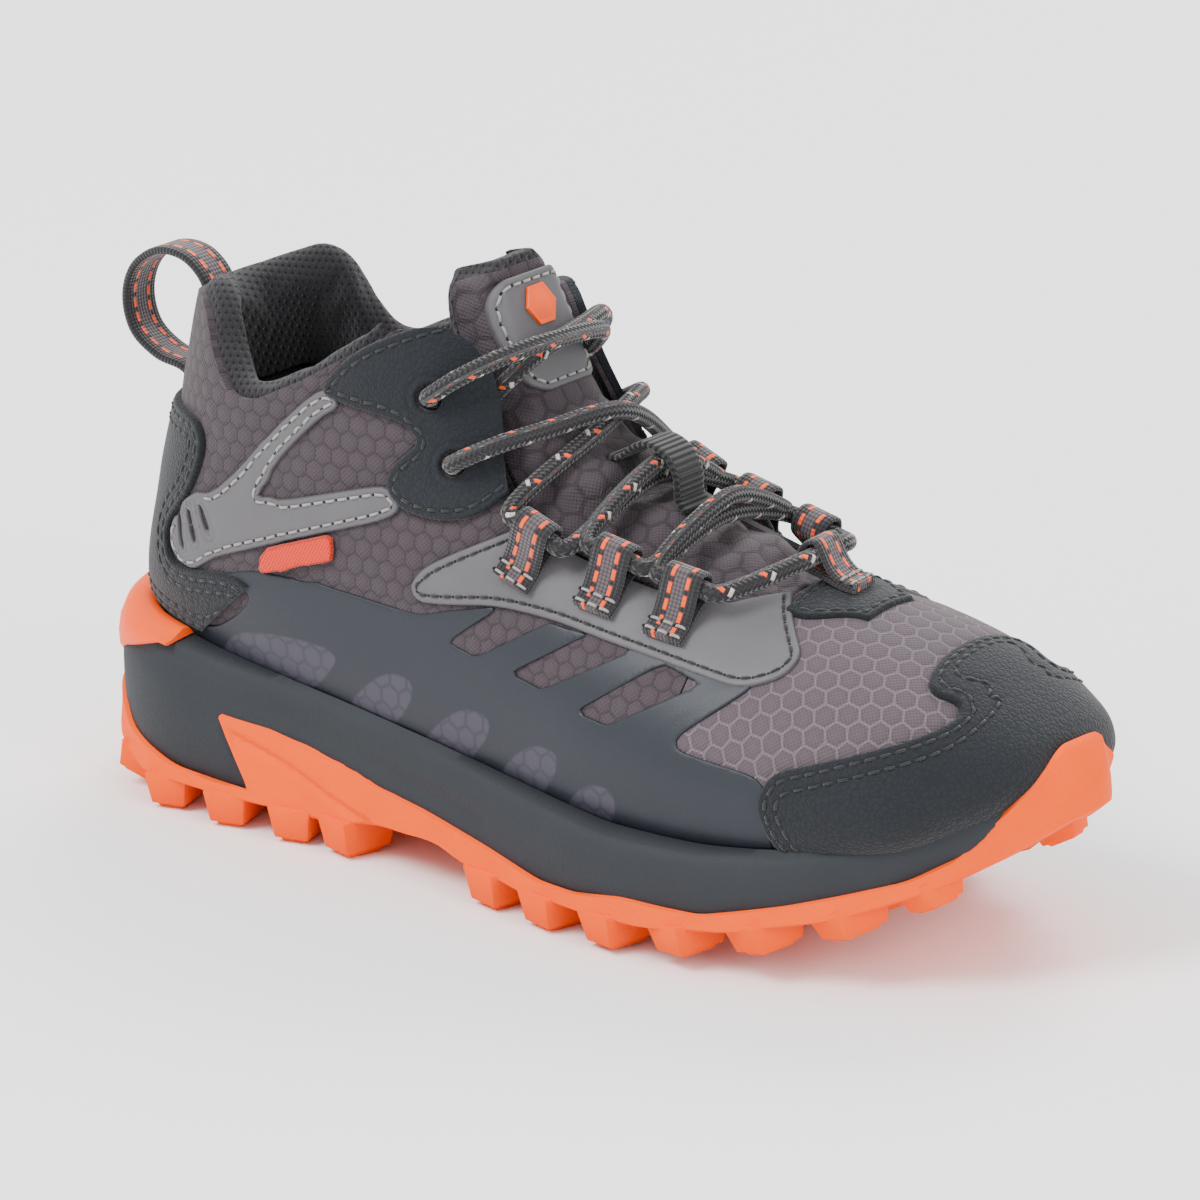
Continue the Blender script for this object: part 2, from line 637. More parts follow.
bpy.ops.object.select_all(action="DESELECT")
bpy.ops.mesh.primitive_cube_add(size=1)
lug = bpy.context.object
bpy.ops.object.mode_set(mode="EDIT")
bpy.ops.mesh.select_mode(type="FACE")
bpy.ops.mesh.select_all(action="DESELECT")
bpy.ops.object.mode_set(mode="OBJECT")
for face in lug.data.polygons:
    face.select = face.normal.z < -0.9
bpy.ops.object.mode_set(mode="EDIT")
bpy.ops.transform.resize(value=(0.88, 0.88, 1))
bpy.ops.mesh.inset(thickness=0.09)
bpy.ops.mesh.extrude_region_move(TRANSFORM_OT_translate={"value": (0, 0, -0.16)})
bpy.ops.transform.resize(value=(0.9, 0.9, 1))
bpy.ops.object.mode_set(mode="OBJECT")
for v in lug.data.vertices:
    if v.co.z > 0.4:
        v.co.x *= 1.1
        v.co.y *= 1.12
finished(lug, "BEVEL", width=0.05, segments=2)
low_z = min(v.co.z for v in lug.data.vertices)
high_z = max(v.co.z for v in lug.data.vertices)


def width_at(x, side):
    row = plan[np.sign(-plan[:, 1]) == side]
    row = row[np.argsort(row[:, 0])]
    return float(np.interp(x, row[:, 0], np.abs(row[:, 1])))


def plant(x, y, long, wide, turn):
    """One lug, its foot level with the tread at its own x."""
    foot = float(look(LUG_FOOT, x))
    tall = float(look(UNDERSIDE, x)) + 1.6 - foot
    slope = math.atan2(float(look(LUG_FOOT, x + 6) - look(LUG_FOOT, x - 6)), 12)
    copy = lug.copy()
    copy.data = lug.data.copy()
    bpy.context.collection.objects.link(copy)
    place = (Matrix.Translation(Vector(((x + SHIFT[0]), (y + SHIFT[1]), foot)) / 1000)
             @ Matrix.Rotation(-slope, 4, "Y") @ Matrix.Rotation(math.radians(turn), 4, "Z")
             @ Matrix.Diagonal((long / 1000, wide / 1000, tall / 1000 / (high_z - low_z), 1))
             @ Matrix.Translation((0, 0, -low_z)))
    copy.data.transform(place)
    return copy


EDGE_LONG, EDGE_OUT = 8.2, 0.9
MIDDLE_LONG, MIDDLE_WIDE, MIDDLE_APART = 7.5, 10, 9.5
lugs = []
for x in EDGE_LUGS:
    for side in (OUTER, INNER):
        wide = 9 if x < -90 or x > 88 else 12
        y = -side * (width_at(x, side) - wide / 2 + EDGE_OUT)
        lugs.append(plant(x, y, EDGE_LONG, wide, side * (14 if x < -40 else -16)))
for x in MIDDLE_LUGS:
    for side in (-1, 1):
        turn = side * (-28 if x < 0 else 28)
        lugs.append(plant(x, side * MIDDLE_APART + 1, MIDDLE_LONG, MIDDLE_WIDE, turn))
bpy.data.objects.remove(lug)
bpy.ops.object.select_all(action="DESELECT")
for piece in lugs + [outsole]:
    piece.select_set(True)
bpy.context.view_layer.objects.active = outsole
bpy.ops.object.join()
bpy.ops.object.shade_smooth_by_angle(angle=math.radians(38))

rubber = Finish("orange_rubber", Specular_IOR_Level=0.05)
where = rubber.where()
grain = rubber.noise(where, 0.45, 3.0)
patch = rubber.noise(where, 14.0)
height = rubber.parts(where)[2]
dust = (1 - height.ease(0.0, 9.0)) * patch
colour = rubber.mix(patch, ORANGE, ORANGE_PALE)
colour = rubber.mix(dust * 0.3, colour, ORANGE_DEEP)
orange_rubber = rubber.dress(colour, 0.52 + grain * 0.2, grain, 0.12)
fit(outsole, orange_rubber, ["outsole"])

# ---- Midsole ------------------------------------------------------------------------------------
# Compression-moulded foam in dark grey-green, full length. Its rim laps the upper's lower edge, the
# side swells and carries a soft crease from the heel, and it is cemented to upper and outsole.
rim = lambda x: rounded(RIM, x)
CREASE = [(-104, 33), (-84, 31), (-62, 27.5), (-40, 24), (-20, 20), (0, 17)]
FOAM_SIDE = [(0.0, 0.9), (0.14, 0.25), (0.3, -0.1), (0.45, -0.25), (0.6, -0.3), (0.72, -0.15),
             (0.82, 0.1), (0.9, 0.4), (0.96, 0.9), (1.0, 1.5)]
rings = [ring(5, lambda x: under(x) + 2.6), ring(1.8, lambda x: under(x) + 2.8)]
for share in np.concatenate([np.linspace(0, 0.9, 15), [0.94, 0.97, 1.0]]):
    z = under(plan[:, 0]) + 2.8 + (rim(plan[:, 0]) - 0.3 - under(plan[:, 0]) - 2.8) * share
    crease = 0.55 * np.exp(-((near_line(plan[:, 0], z, CREASE) / 1.6) ** 2))
    x = plan[:, 0]
    for _ in range(4):
        x = plan[:, 0] + swept(x, z)
    behind_wall = 1.3 * np.clip((wall_top(x) - 0.6 - z) / 1.2, 0, 1)
    rings.append(ring(look(FOAM_SIDE, share) + crease + behind_wall, z))
rings += [hug(lambda x: rim(x) + 0.7, 0.9), hug(lambda x: rim(x) - 1.5, -1.2)]
midsole = stack("midsole_foam", rings, 60)
foam = Finish("midsole_foam", Specular_IOR_Level=0.25)
where = foam.where()
skin = foam.noise(where, 0.6, 3.0)
cloud = foam.noise(where, 22.0)
colour = foam.mix(cloud * 0.7 + skin * 0.3, tone(68, 73, 79), tone(84, 88, 93))
fit(midsole, foam.dress(colour, 0.6 + skin * 0.2, skin * 0.7 + cloud * 0.3, 0.14), ["midsole"])

# ---- Strobel board, shank and stiffeners --------------------------------------------------------
# Hidden inside: a non-woven board stitched under the upper, a pressed steel shank in the foam, and
# thermoplastic sheets that stiffen the toe and the heel. The solids keep their shape here.
felt = Finish("board_felt")
where = felt.where()
fibre = felt.noise(where, 0.5, 4.0)
board_felt = felt.dress(felt.mix(fibre, tone(150, 140, 120), tone(200, 192, 172)), 0.9, fibre, 0.15)
steel = Finish("shank_steel", Metallic=1.0)
where = steel.where()
roll = steel.noise(where, 0.8, 3.0)
colour = steel.mix(roll, tone(120, 122, 126), tone(176, 178, 180))
shank_steel = steel.dress(colour, 0.3 + roll * 0.25, roll, 0.03)
sheet = Finish("stiffener_sheet")
where = sheet.where()
mottle = sheet.noise(where, 3.0)
colour = sheet.mix(mottle, tone(200, 192, 172), tone(226, 220, 204))
stiffener = sheet.dress(colour, 0.75 + mottle * 0.15, mottle, 0.1)
for node, material in (("strobel_board", board_felt), ("shank", shank_steel), ("toe_puff", stiffener),
                       ("heel_counter", stiffener)):
    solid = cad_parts[node]
    for place_in in solid.material_slots:
        place_in.material = material

# ---- Bootie lining and footbed ------------------------------------------------------------------
# The waterproof sock is a membrane laminated to dark knit lining, seen down the shaft. On it lies a
# moulded foam footbed with a cloth top and a shallow heel cup.
MARGIN, SEAM, FLAP_TOP = 0.42, 5.2, 11.2
THROAT = [(3, 0.02), (4.7, 0.03), (5.2, 0.075), (5.6, 0.09), (6.4, 0.1), (7.3, 0.112), (8, 0.108),
          (8.6, 0.082), (9.2, 0.066), (9.8, 0.062), (10.4, 0.075), (10.9, 0.105), (11.2, 0.15)]
COLLAR = [(0.15, 11.25), (0.2, 11.2), (0.26, 11.2), (0.29, 11.6), (0.32, 12.3), (0.36, 12.9),
          (0.5, 12.9)]


def collar_line(t):
    return rounded(COLLAR, np.where(np.abs(t) > 0.5, 1 - np.abs(t), np.abs(t)), 0.028)


def mesh_grid(rows, columns):
    return np.meshgrid(np.linspace(0, 1, rows), np.linspace(0, 1, columns), indexing="ij")


def grid_faces(rows, columns, flip=False):
    i = np.arange((rows - 1) * columns).reshape(rows - 1, columns)[:, :-1].ravel()
    faces = np.stack([i, i + columns, i + columns + 1, i + 1], -1)
    return (faces[:, ::-1] if flip else faces).tolist()


def closed_sheet(top, bottom, faces):
    """Points and faces of a closed sheet: faces over the top, the same under the bottom, and walls."""
    n = len(top)
    once = {}
    for f in faces:
        for a, b in zip(f, f[1:] + f[:1]):
            if (b, a) in once:
                once.pop((b, a))
            else:
                once[(a, b)] = True
    walls = [[b, a, a + n, b + n] for a, b in once]
    return np.vstack([top, bottom]), faces + [[i + n for i in f[::-1]] for f in faces] + walls


def facing(s, t, faces):
    """The faces, turned if they look into the last."""
    p = on_last(s, t, 0 * s)
    a, b, c = (p[[f[k] for f in faces]] for k in (0, 1, 2))
    n = last_normal(s, t)[[f[0] for f in faces]]
    inward_ones = (np.cross(b - a, c - a) * n).sum() < 0
    return [f[::-1] for f in faces] if inward_ones else faces


def draped(name, s, t, out, inn, cloth=None, smooth_angle=50):
    """A closed sheet on the last from grids of s and t."""
    faces = facing(s.ravel(), t.ravel(), grid_faces(*s.shape))
    top = on_last(s, t, out).reshape(-1, 3)
    points, faces = closed_sheet(top, on_last(s, t, inn).reshape(-1, 3), faces)
    if cloth is not None:
        cloth = np.vstack([cloth.reshape(-1, 2)] * 2)
    return build(name, points, faces, cloth, smooth_angle=smooth_angle)


def knit(name, dark, light, pitch):
    """Spacer knit: rows of small round openings on a springy ground."""
    made = Finish(name, Sheen_Weight=0.1, Sheen_Roughness=0.6)
    where = made.where()
    x, y, z = made.parts(where)
    u, v = (x + y * 0.6) / pitch, (z + y * 0.35 - x * 0.2) / pitch
    row = v.floor() % 2
    hole = abs((u + row * 0.5) % 1 - 0.5) * 1.3 + abs(v % 1 - 0.5)
    open_ = hole.ease(0.2, 0.55)
    fuzz = made.noise(where, 0.5)
    return made.dress(made.mix(open_ * 0.8 + fuzz * 0.2, dark, light), 0.9, open_ * 0.8 + fuzz * 0.2, 0.5)


lining = knit("dark_spacer_knit", tone(26, 25, 29), tone(70, 67, 73), 1.5)
a, b = mesh_grid(90, 70)
s0 = 4.9 + (9.1 - 4.9) * a
half_gap = np.maximum(look(THROAT, s0) + 0.02, 0.075)
t = half_gap + (1 - 2 * half_gap) * b
s = np.where(a < 0.5, 9.8 * a, 4.9 + (collar_line(t) - 2.6 - 4.9) * (a * 2 - 1))
fit(draped("bootie_lining", s, t, -3.1 + 0 * s, -3.6 + 0 * s), lining, ["waterproof_bootie"])
bed = Finish("footbed_cloth", Sheen_Weight=0.2)
where = bed.where()
x, y, z = bed.parts(where)
thread_over = ((x * 1.6).math("SINE") * (y * 1.6).math("SINE")) * 0.5 + 0.5
nap = bed.noise(where, 0.8)
worn = bed.noise(where, 30.0).ease(0.45, 0.7)
colour = bed.mix(thread_over * 0.5 + nap * 0.5, tone(44, 46, 50), tone(78, 78, 84))
colour = bed.mix(worn * 0.4, colour, tone(96, 92, 96))
footbed_cloth = bed.dress(colour, 0.9, thread_over * 0.6 + nap * 0.4, 0.3)
a, b = mesh_grid(110, 44)
s, t = 1.4 + 8.3 * a, 0.36 + 0.28 * b
round_edge = 0.9 * (1 - np.clip(np.minimum(b, 1 - b) * 14, 0, 1)) ** 2
arch = np.sin(np.pi * b)
footbed = draped("footbed_moulded", s, t, -4.5 - round_edge, -5.7 - 2.4 * arch + round_edge * 0.3)
fit(footbed, footbed_cloth, ["footbed"])

# ---- Vamp and quarters --------------------------------------------------------------------------
# Mauve-grey ripstop with raised hexagons on a thin foam backing, cut as a vamp and two quarters and
# pulled over the last. It puffs a little between the pieces sewn on it.
ANKLE_STAY = [(-44, 92), (-41, 97), (-35, 102), (-28, 105.5), (-22, 108), (-12, 108), (-4, 90),
              (-2, 79), (-9, 72.5), (-17, 71), (-25, 72), (-29, 76), (-27, 81), (-22, 85),
              (-26, 89), (-39, 90.5)]
Y_STRAP = [(-77, 66), (-71, 67), (-64, 73), (-56, 82), (-43, 94), (-39, 90), (-44, 87), (-53, 78),
           (-58, 71), (-57, 68), (-37, 74), (-28, 76.5), (-24, 71), (-44, 64), (-69, 55),
           (-73, 52.5), (-77, 50), (-84, 53), (-83, 59)]
EYESTAY = [(-22, 58), (-20, 55), (-12, 56), (-1, 58), (12, 57.5), (23, 56), (45, 53), (54, 52),
           (61, 54.5), (62, 57.5), (58, 60), (53, 63), (44, 68.5), (30, 74), (8, 80), (0, 72),
           (-4, 70), (-12, 66), (-19, 62)]
FILM_EDGE = [(-80, 36), (-76, 44), (-70, 51), (-61, 53.5), (-49, 54), (-37, 53.5), (-20, 52.5),
             (-12, 55), (0, 58), (45, 54), (58, 54), (42, 41), (66, 39), (66, 21.5), (20, 21.5),
             (-30, 25), (-80, 30)]
SLOTS = [[(-12, 49), (-5, 47.5), (12, 57.5), (1, 59)], [(4, 46.5), (12, 45), (30, 55), (21, 57)],
         [(21, 43), (29, 42), (46, 51.8), (37, 54)]]
HEEL = [(-120, 79), (-80, 81), (-75, 79.5), (-73.5, 75), (-77, 66), (-85, 57.5), (-84, 51),
        (-79, 50), (-66, 52), (-61, 50), (-60, 47), (-64, 42.5), (-71, 38), (-76, 37), (-98, 40),
        (-120, 42)]
TOE = [(82, 64), (82.5, 57.5), (85.5, 54), (91, 52), (92.5, 50), (89, 48), (74, 43), (66, 40.5),
       (63.5, 35), (65, 30), (70, 22), (120, 22), (120, 64)]
EYELETS = [(8.8, 0.135), (9.9, 0.129)]
EYELET_R = 2.5


def cornered(points, rounds=3, share=0.22):
    """An outline with its corners cut round."""
    p = np.array(points, float)
    for _ in range(rounds):
        q = np.roll(p, -1, 0)
        p = np.stack([p * (1 - share) + q * share, p * share + q * (1 - share)], 1).reshape(-1, 2)
    return p


def inside(shape, points):
    """Distance in from a side-view outline, below 0 outside."""
    x, z = points[..., 0], points[..., 2]
    a, b = shape, np.roll(shape, -1, 0)
    p = np.stack([x, z], -1).reshape(-1, 1, 2)
    k = np.clip(((p - a) * (b - a)).sum(-1) / np.maximum(((b - a) ** 2).sum(-1), 1e-9), 0, 1)
    away = np.linalg.norm(p - a - (b - a) * k[..., None], axis=-1).min(1)
    over = (a[:, 1] > p[..., 1]) != (b[:, 1] > p[..., 1])
    rise = np.where(b[:, 1] == a[:, 1], 1e-9, b[:, 1] - a[:, 1])
    left = p[..., 0] < (b[:, 0] - a[:, 0]) * (p[..., 1] - a[:, 1]) / rise + a[:, 0]
    return np.where((over & left).sum(1) % 2 == 1, away, -away).reshape(x.shape)


def surface_distance(points, field):
    """A side-view distance as a distance along the surface."""
    ps, pt = np.gradient(points, axis=0), np.gradient(points, axis=1)
    fs, ft = np.gradient(field, axis=0), np.gradient(field, axis=1)
    e, g, h = (ps * ps).sum(-1), (pt * pt).sum(-1), (ps * pt).sum(-1)
    slope = (g * fs * fs - 2 * h * fs * ft + e * ft * ft) / np.maximum(e * g - h * h, 1e-9)
    return field / np.clip(np.sqrt(np.maximum(slope, 0)), 0.4, 1.2)


def unrolled(points, normals, up, middle):
    """Flat cloth lengths of a grid: the surface rolled out on the plane that up stands on."""
    up = np.array(up, float)

    def lay(step, n):
        axis = np.cross(n, up)
        cos = (n * up).sum(-1, keepdims=True)
        return step * cos + np.cross(axis, step) + axis * (axis * step).sum(-1, keepdims=True) / (1 + cos)

    side = np.cross(up, [0.0, 0, 1]) if abs(up[1]) > 0.5 else np.array([0.0, 1, 0])
    side = unit(side)
    rise = np.cross(side, up)
    across = lay(np.diff(points, axis=1), (normals[:, 1:] + normals[:, :-1]) / 2)
    along = lay(np.diff(points[:, middle], axis=0), (normals[1:, middle] + normals[:-1, middle]) / 2)
    flat = np.zeros(points.shape)
    flat[1:, middle] = np.cumsum(along, 0)
    flat[:, middle + 1:] = flat[:, middle:middle + 1] + np.cumsum(across[:, middle:], 1)
    flat[:, :middle] = flat[:, middle:middle + 1] - np.cumsum(across[:, :middle][:, ::-1], 1)[:, ::-1]
    return np.stack([flat @ side, flat @ rise], -1)


SKIN_ROWS, SKIN_COLUMNS = 150, 96


def side_skin(side, ahead=1.7):
    """Stations and shares of one side of the upper, from the throat down to the sole."""
    a, b = mesh_grid(SKIN_ROWS, SKIN_COLUMNS)
    s0 = SEAM + 0.02 - ahead + (FLAP_TOP - SEAM - 0.02 + ahead) * a
    low = np.clip(MARGIN + (s0 - 8.1) * 0.1, MARGIN, 0.5)
    t = look(THROAT, s0) + (low - 0.002 - look(THROAT, s0)) * b
    s = s0 + (collar_line(t) - FLAP_TOP) * np.maximum(0, (s0 - SEAM) / (FLAP_TOP - SEAM))
    return s, side * t


def split(data, faces, level):
    """Faces cut along field = level, and the cut edges. Columns of data are s, t, field, then others."""
    above = data[:, 2] >= level
    made, rows, out, seams = {}, [], [], []
    for face in faces:
        count = sum(above[i] for i in face)
        if count in (0, len(face)):
            out.append(face)
            continue
        high, low, cuts = [], [], []
        for i, j in zip(face, face[1:] + face[:1]):
            (high if above[i] else low).append(i)
            if above[i] != above[j]:
                key = (min(i, j), max(i, j))
                if key not in made:
                    k = (level - data[key[0], 2]) / (data[key[1], 2] - data[key[0], 2])
                    made[key] = len(data) + len(rows)
                    rows.append(data[key[0]] * (1 - k) + data[key[1]] * k)
                high.append(made[key])
                low.append(made[key])
                cuts.append(made[key])
        out += [high, low]
        if len(cuts) == 2:
            seams.append(cuts)
    return (np.vstack([data, rows]) if rows else data), out, seams


def chains(seams):
    """Cut edges joined into runs of points."""
    near = {}
    for a, b in seams:
        near.setdefault(a, []).append(b)
        near.setdefault(b, []).append(a)
    runs, used = [], set()
    for start in sorted(near, key=lambda i: len(near[i])):
        if start in used:
            continue
        run, here = [start], start
        used.add(start)
        while True:
            onward = [i for i in near[here] if i not in used]
            if not onward:
                break
            here = onward[0]
            used.add(here)
            run.append(here)
        if here != start and start in near[here] and len(run) > 2:
            run.append(start)
        runs.append(run)
    return runs


SEW_DEPTH = 0.16


def panel(name, s, t, field, top, rows_in=(), extra=None, cloth=None, base=0.04, edge=0.55,
          puff=0.0, lie=None):
    """A sewn-on piece: the grid cut along field = 0, its edge rounded, sunk along its rows of stitches.
    Gives the object and, for each row, runs of points and normals on its face."""
    points = on_last(s, t, 0 * s)
    field = surface_distance(points, field)
    columns = [s.ravel(), t.ravel(), field.ravel()]
    if cloth is not None:
        columns += [cloth[..., 0].ravel(), cloth[..., 1].ravel()]
    if extra is not None:
        columns.append(extra.ravel())
    data = np.stack(columns, -1)
    faces = facing(s.ravel(), t.ravel(), grid_faces(*s.shape))
    data, faces, _ = split(data, faces, 0.0)
    faces = [f for f in faces if np.mean(data[f, 2]) > 0]
    levels = [edge * 0.35, edge] + [row + d for row in rows_in for d in (-0.5, 0.5)]
    for level in levels:
        data, faces, _ = split(data, faces, level)
    seams = []
    for row in rows_in:
        data, faces, cut = split(data, faces, row)
        seams.append(cut)
    used = sorted({i for f in faces for i in f})
    renumber = {i: k for k, i in enumerate(used)}
    data = data[used]
    faces = [[renumber[i] for i in f] for f in faces]
    depth = data[:, 2]
    rise = np.interp(depth, [0, edge * 0.35, edge], [0.45, 0.84, 1.0])
    off = base + (top - base) * rise + puff * np.clip(depth / 6, 0, 1)
    for row in rows_in:
        off -= SEW_DEPTH * np.exp(-(((depth - row) / 0.4) ** 2))
    lying = lie(data[:, 0], data[:, 1]) if lie else 0 * off
    face_points = on_last(data[:, 0], data[:, 1], off + lying)
    n = last_normal(data[:, 0], data[:, 1])
    back_points = on_last(data[:, 0], data[:, 1], base + lying)
    solid_points, solid_faces = closed_sheet(face_points, back_points, faces)
    fields = {"edge": np.concatenate([depth, depth * 0])}
    if extra is not None:
        fields["pane"] = np.tile(data[:, -1], 2)
    laid = np.tile(data[:, 3:5], (2, 1)) if cloth is not None else None
    made = build(name, solid_points, solid_faces, laid, fields, smooth_angle=50)
    sewn = []
    for cut in seams:
        runs = [[renumber[i] for i in run if i in renumber] for run in chains(cut)]
        sewn.append([(face_points[run], n[run]) for run in runs])
    return made, sewn


def hexagons(made, cell, warp):
    """The cloth's two lengths in cells, and how near a place is to its hexagon's border, from 0 to 1."""
    u, v = made.weave()
    u, v = (u + warp * 0.5) / cell, (v + warp * 0.5) / cell
    tall = math.sqrt(3)
    ax, ay = u % 1 - 0.5, v % tall - tall / 2
    bx, by = (u - 0.5) % 1 - 0.5, (v - tall / 2) % tall - tall / 2
    nearer = (ax * ax + ay * ay).below(bx * bx + by * by)
    gx, gy = abs(bx + nearer * (ax - bx)), abs(by + nearer * (ay - by))
    return u, v, gx.most(gx * 0.5 + gy * (tall / 2)) * 2


def ripstop(name, cell, ground, border, width=0.1, weave=0.95, depth=0.5):
    """Cloth woven in hexagons: each cell puffs up a little, with a thin border of another tone."""
    made = Finish(name, Sheen_Weight=0.08, Sheen_Roughness=0.5)
    where = made.where()
    warp = made.noise(where, 9.0)
    u, v, to_edge = hexagons(made, cell, warp)
    frame_of_cell = to_edge.ease(1 - width * 1.8, 1 - width * 0.6)
    fine = (u * (cell * 2 * math.pi / weave)).sine() * (v * (cell * 2 * math.pi / weave)).sine() * 0.5 + 0.5
    slub = made.noise(where, 0.5)
    dark = [c * 0.42 for c in ground[:3]] + [1.0]
    swollen = 1 - to_edge * to_edge
    colour = made.mix(fine * 0.5 + slub * 0.25 + swollen * 0.25, dark, ground)
    colour = made.mix(frame_of_cell * (0.45 + fine * 0.4), colour, border)
    colour = made.mix(warp * 0.25, colour, [c * 0.8 for c in ground[:3]] + [1.0])
    height = swollen * 0.5 + frame_of_cell * 0.25 + fine * 0.22 + slub * 0.12
    return made.dress(colour, 0.72 + slub * 0.2, height, depth)


MAUVE = tone(136, 124, 131)
vamp_cloth = ripstop("vamp_ripstop", 4.4, MAUVE, tone(162, 150, 155))
quarter_cloth = ripstop("quarter_ripstop", 3.9, tone(116, 105, 111), tone(80, 72, 78))
shapes = {"ankle": cornered(ANKLE_STAY), "strap": cornered(Y_STRAP), "eyestay": cornered(EYESTAY),
          "film": cornered(FILM_EDGE, 3, 0.15), "heel": cornered(HEEL), "toe": cornered(TOE)}
cutouts = [cornered(slot, 2, 0.08) for slot in SLOTS]


def covered(points, names):
    return np.max([inside(shapes[key], points) for key in names], axis=0)


a, b = mesh_grid(120, 150)
t = -MARGIN + 2 * MARGIN * b
s = a * np.interp(np.abs(t), [0, 0.05, 0.085, 0.5], [4.72, 4.8, SEAM, SEAM])
points = on_last(s, t, 0 * s)
free = np.clip(-covered(points, ["toe", "film", "eyestay"]) / 5, 0, 1)
off = 0.0 + 0.45 * free**0.7 + 0.1 * np.sin(points[..., 0] / 6 + points[..., 1] / 9)
cloth = unrolled(points, last_normal(s, t), (0, 0, 1), 75)
fit(draped("vamp_cloth", s, t, off, -1 + 0 * s, cloth), vamp_cloth, ["vamp"])
for side, word in ((OUTER, "lateral"), (INNER, "medial")):
    s, t = side_skin(side, 0.0)
    points = on_last(s, t, 0 * s)
    free = np.clip(-covered(points, ["ankle", "film", "eyestay", "heel", "strap"]) / 5, 0, 1)
    puffs = 0.55 * free**0.7 + 0.12 * np.sin(points[..., 0] / 7 + points[..., 2] / 5)
    cloth = unrolled(points, last_normal(s, t), (0, -side, 0), 48)
    holes = np.min([np.linalg.norm(points - last_point(es, side * et), axis=-1) - EYELET_R
                    for es, et in EYELETS], 0)
    faces = facing(s.ravel(), t.ravel(), grid_faces(*s.shape))
    columns = (s, t, holes, cloth[..., 0], cloth[..., 1], puffs)
    data = np.stack([column.ravel() for column in columns], -1)
    data, faces, _ = split(data, faces, 0.0)
    faces = [f for f in faces if np.mean(data[f, 2]) > 0]
    front, back = (on_last(data[:, 0], data[:, 1], off) for off in (data[:, 5], -1.0))
    points, faces = closed_sheet(front, back, faces)
    quarter = build("quarter_cloth_" + word, points, faces, np.tile(data[:, 3:5], (2, 1)), smooth_angle=50)
    fit(quarter, quarter_cloth, ["quarter_" + word])

# ---- Side films ---------------------------------------------------------------------------------
# A satin slate-blue film welded low on each side, with three slots that show the cloth and a row of
# lighter clear panes along the sole.
PANES = [[(-73, 33), (-66, 40), (-53, 42), (-38, 41.5), (-44, 34), (-52, 30), (-60, 29)],
         [(-40, 29), (-28, 40), (-20, 40), (-21, 34), (-31, 25)], [(-21, 26), (-8, 37.5), (0, 37),
         (-1, 32), (-12, 22)], [(-2, 23), (10, 34.5), (18, 34.5), (17, 29), (7, 20)], [(17, 22),
         (25, 30.5), (32, 30.5), (32, 25), (25, 20)]]
film = Finish("welded_film", Specular_IOR_Level=0.35)
where = film.where()
x, y, z = film.parts(where)
clear = film.field("pane").ease(-0.35, 0.35)
speck = film.noise(where, 0.4)
blotch = film.noise(where, 3.2, 3.0)
fibre = 1 - hexagons(film, 4.4, blotch)[2].ease(0.72, 0.95)
shade = film.mix(speck, tone(56, 62, 73), tone(66, 72, 83))
pane = film.mix(blotch * 0.35 + fibre * 0.65, tone(78, 77, 90), tone(98, 96, 110))
relief = speck * 0.3 + clear * (0.2 + fibre * 0.15)
side_film = film.dress(film.mix(clear, shade, pane), 0.42 + speck * 0.1, relief, 0.1)
for side, word in ((OUTER, "lateral"), (INNER, "medial")):
    s, t = side_skin(side)
    points = on_last(s, t, 0 * s)
    field = inside(shapes["film"], points)
    for hole in cutouts:
        field = np.minimum(field, -inside(hole, points))
    for key in ("eyestay", "toe", "heel"):
        field = np.minimum(field, 1.5 - inside(shapes[key], points))
    panes = np.max([inside(cornered(p), points) for p in PANES], axis=0)
    cloth = unrolled(points, last_normal(s, t), (0, -side, 0), 48)
    made, _ = panel("film_" + word, s, t, field, 0.5, extra=panes, cloth=cloth, base=0.02, edge=0.3,
                    puff=0.1)
    fit(made, side_film, ["side_film_" + word])

# ---- Nubuck pieces ------------------------------------------------------------------------------
# Dark slate pebbled nubuck: toe cap, heel overlay, ankle stays with two punched holes each, and the
# tab at the foot of the throat. Raw rounded edges, lockstitched in dark grey, two rows at toe and heel.
nubuck = Finish("slate_nubuck", Sheen_Weight=0.12, Sheen_Roughness=0.5)
where = nubuck.where()
bend = nubuck.noise(where, 3.0)
crack = nubuck.cells(where, 1.15).ease(0.0, 0.22)
nap = nubuck.noise(where, 0.35, 3.0)
brushed = nubuck.noise(where, 16.0).ease(0.3, 0.7)
rubbed = 1 - nubuck.field("edge").ease(0.0, 0.7)
colour = nubuck.mix(nap * 0.65 + crack * 0.35, tone(36, 41, 48), tone(64, 70, 78))
colour = nubuck.mix(brushed * 0.35, colour, tone(44, 49, 56))
colour = nubuck.mix(rubbed * 0.45, colour, tone(30, 33, 37))
slate_nubuck = nubuck.dress(colour, 0.72 + nap * 0.2, crack * 0.4 + nap * 0.35 + bend * 0.25, 0.2)


def thread(name, dark, light):
    made = Finish(name, Sheen_Weight=0.2)
    where = made.where()
    twist = made.noise(where, 0.25)
    return made.dress(made.mix(twist, dark, light), 0.75, twist, 0.12)


dark_thread = thread("dark_thread", tone(30, 32, 36), tone(84, 86, 91))
light_thread = thread("light_thread", tone(150, 149, 148), tone(214, 212, 208))
hole_black = thread("needle_hole", tone(8, 8, 9), tone(20, 20, 21))
PITCH, STITCH, THREAD_R = 2.9, 2.2, 0.3
STITCH_RISE = (-0.3, 0.12, 0.3, 0.3, 0.12, -0.3)
STITCH_GIRTH = (0.7, 0.95, 1, 1, 0.95, 0.7)
NEEDLE_HOLE = ((-0.1, 0.42), (0.06, 0.4), (0.075, 0.2))     # height over the face and radius


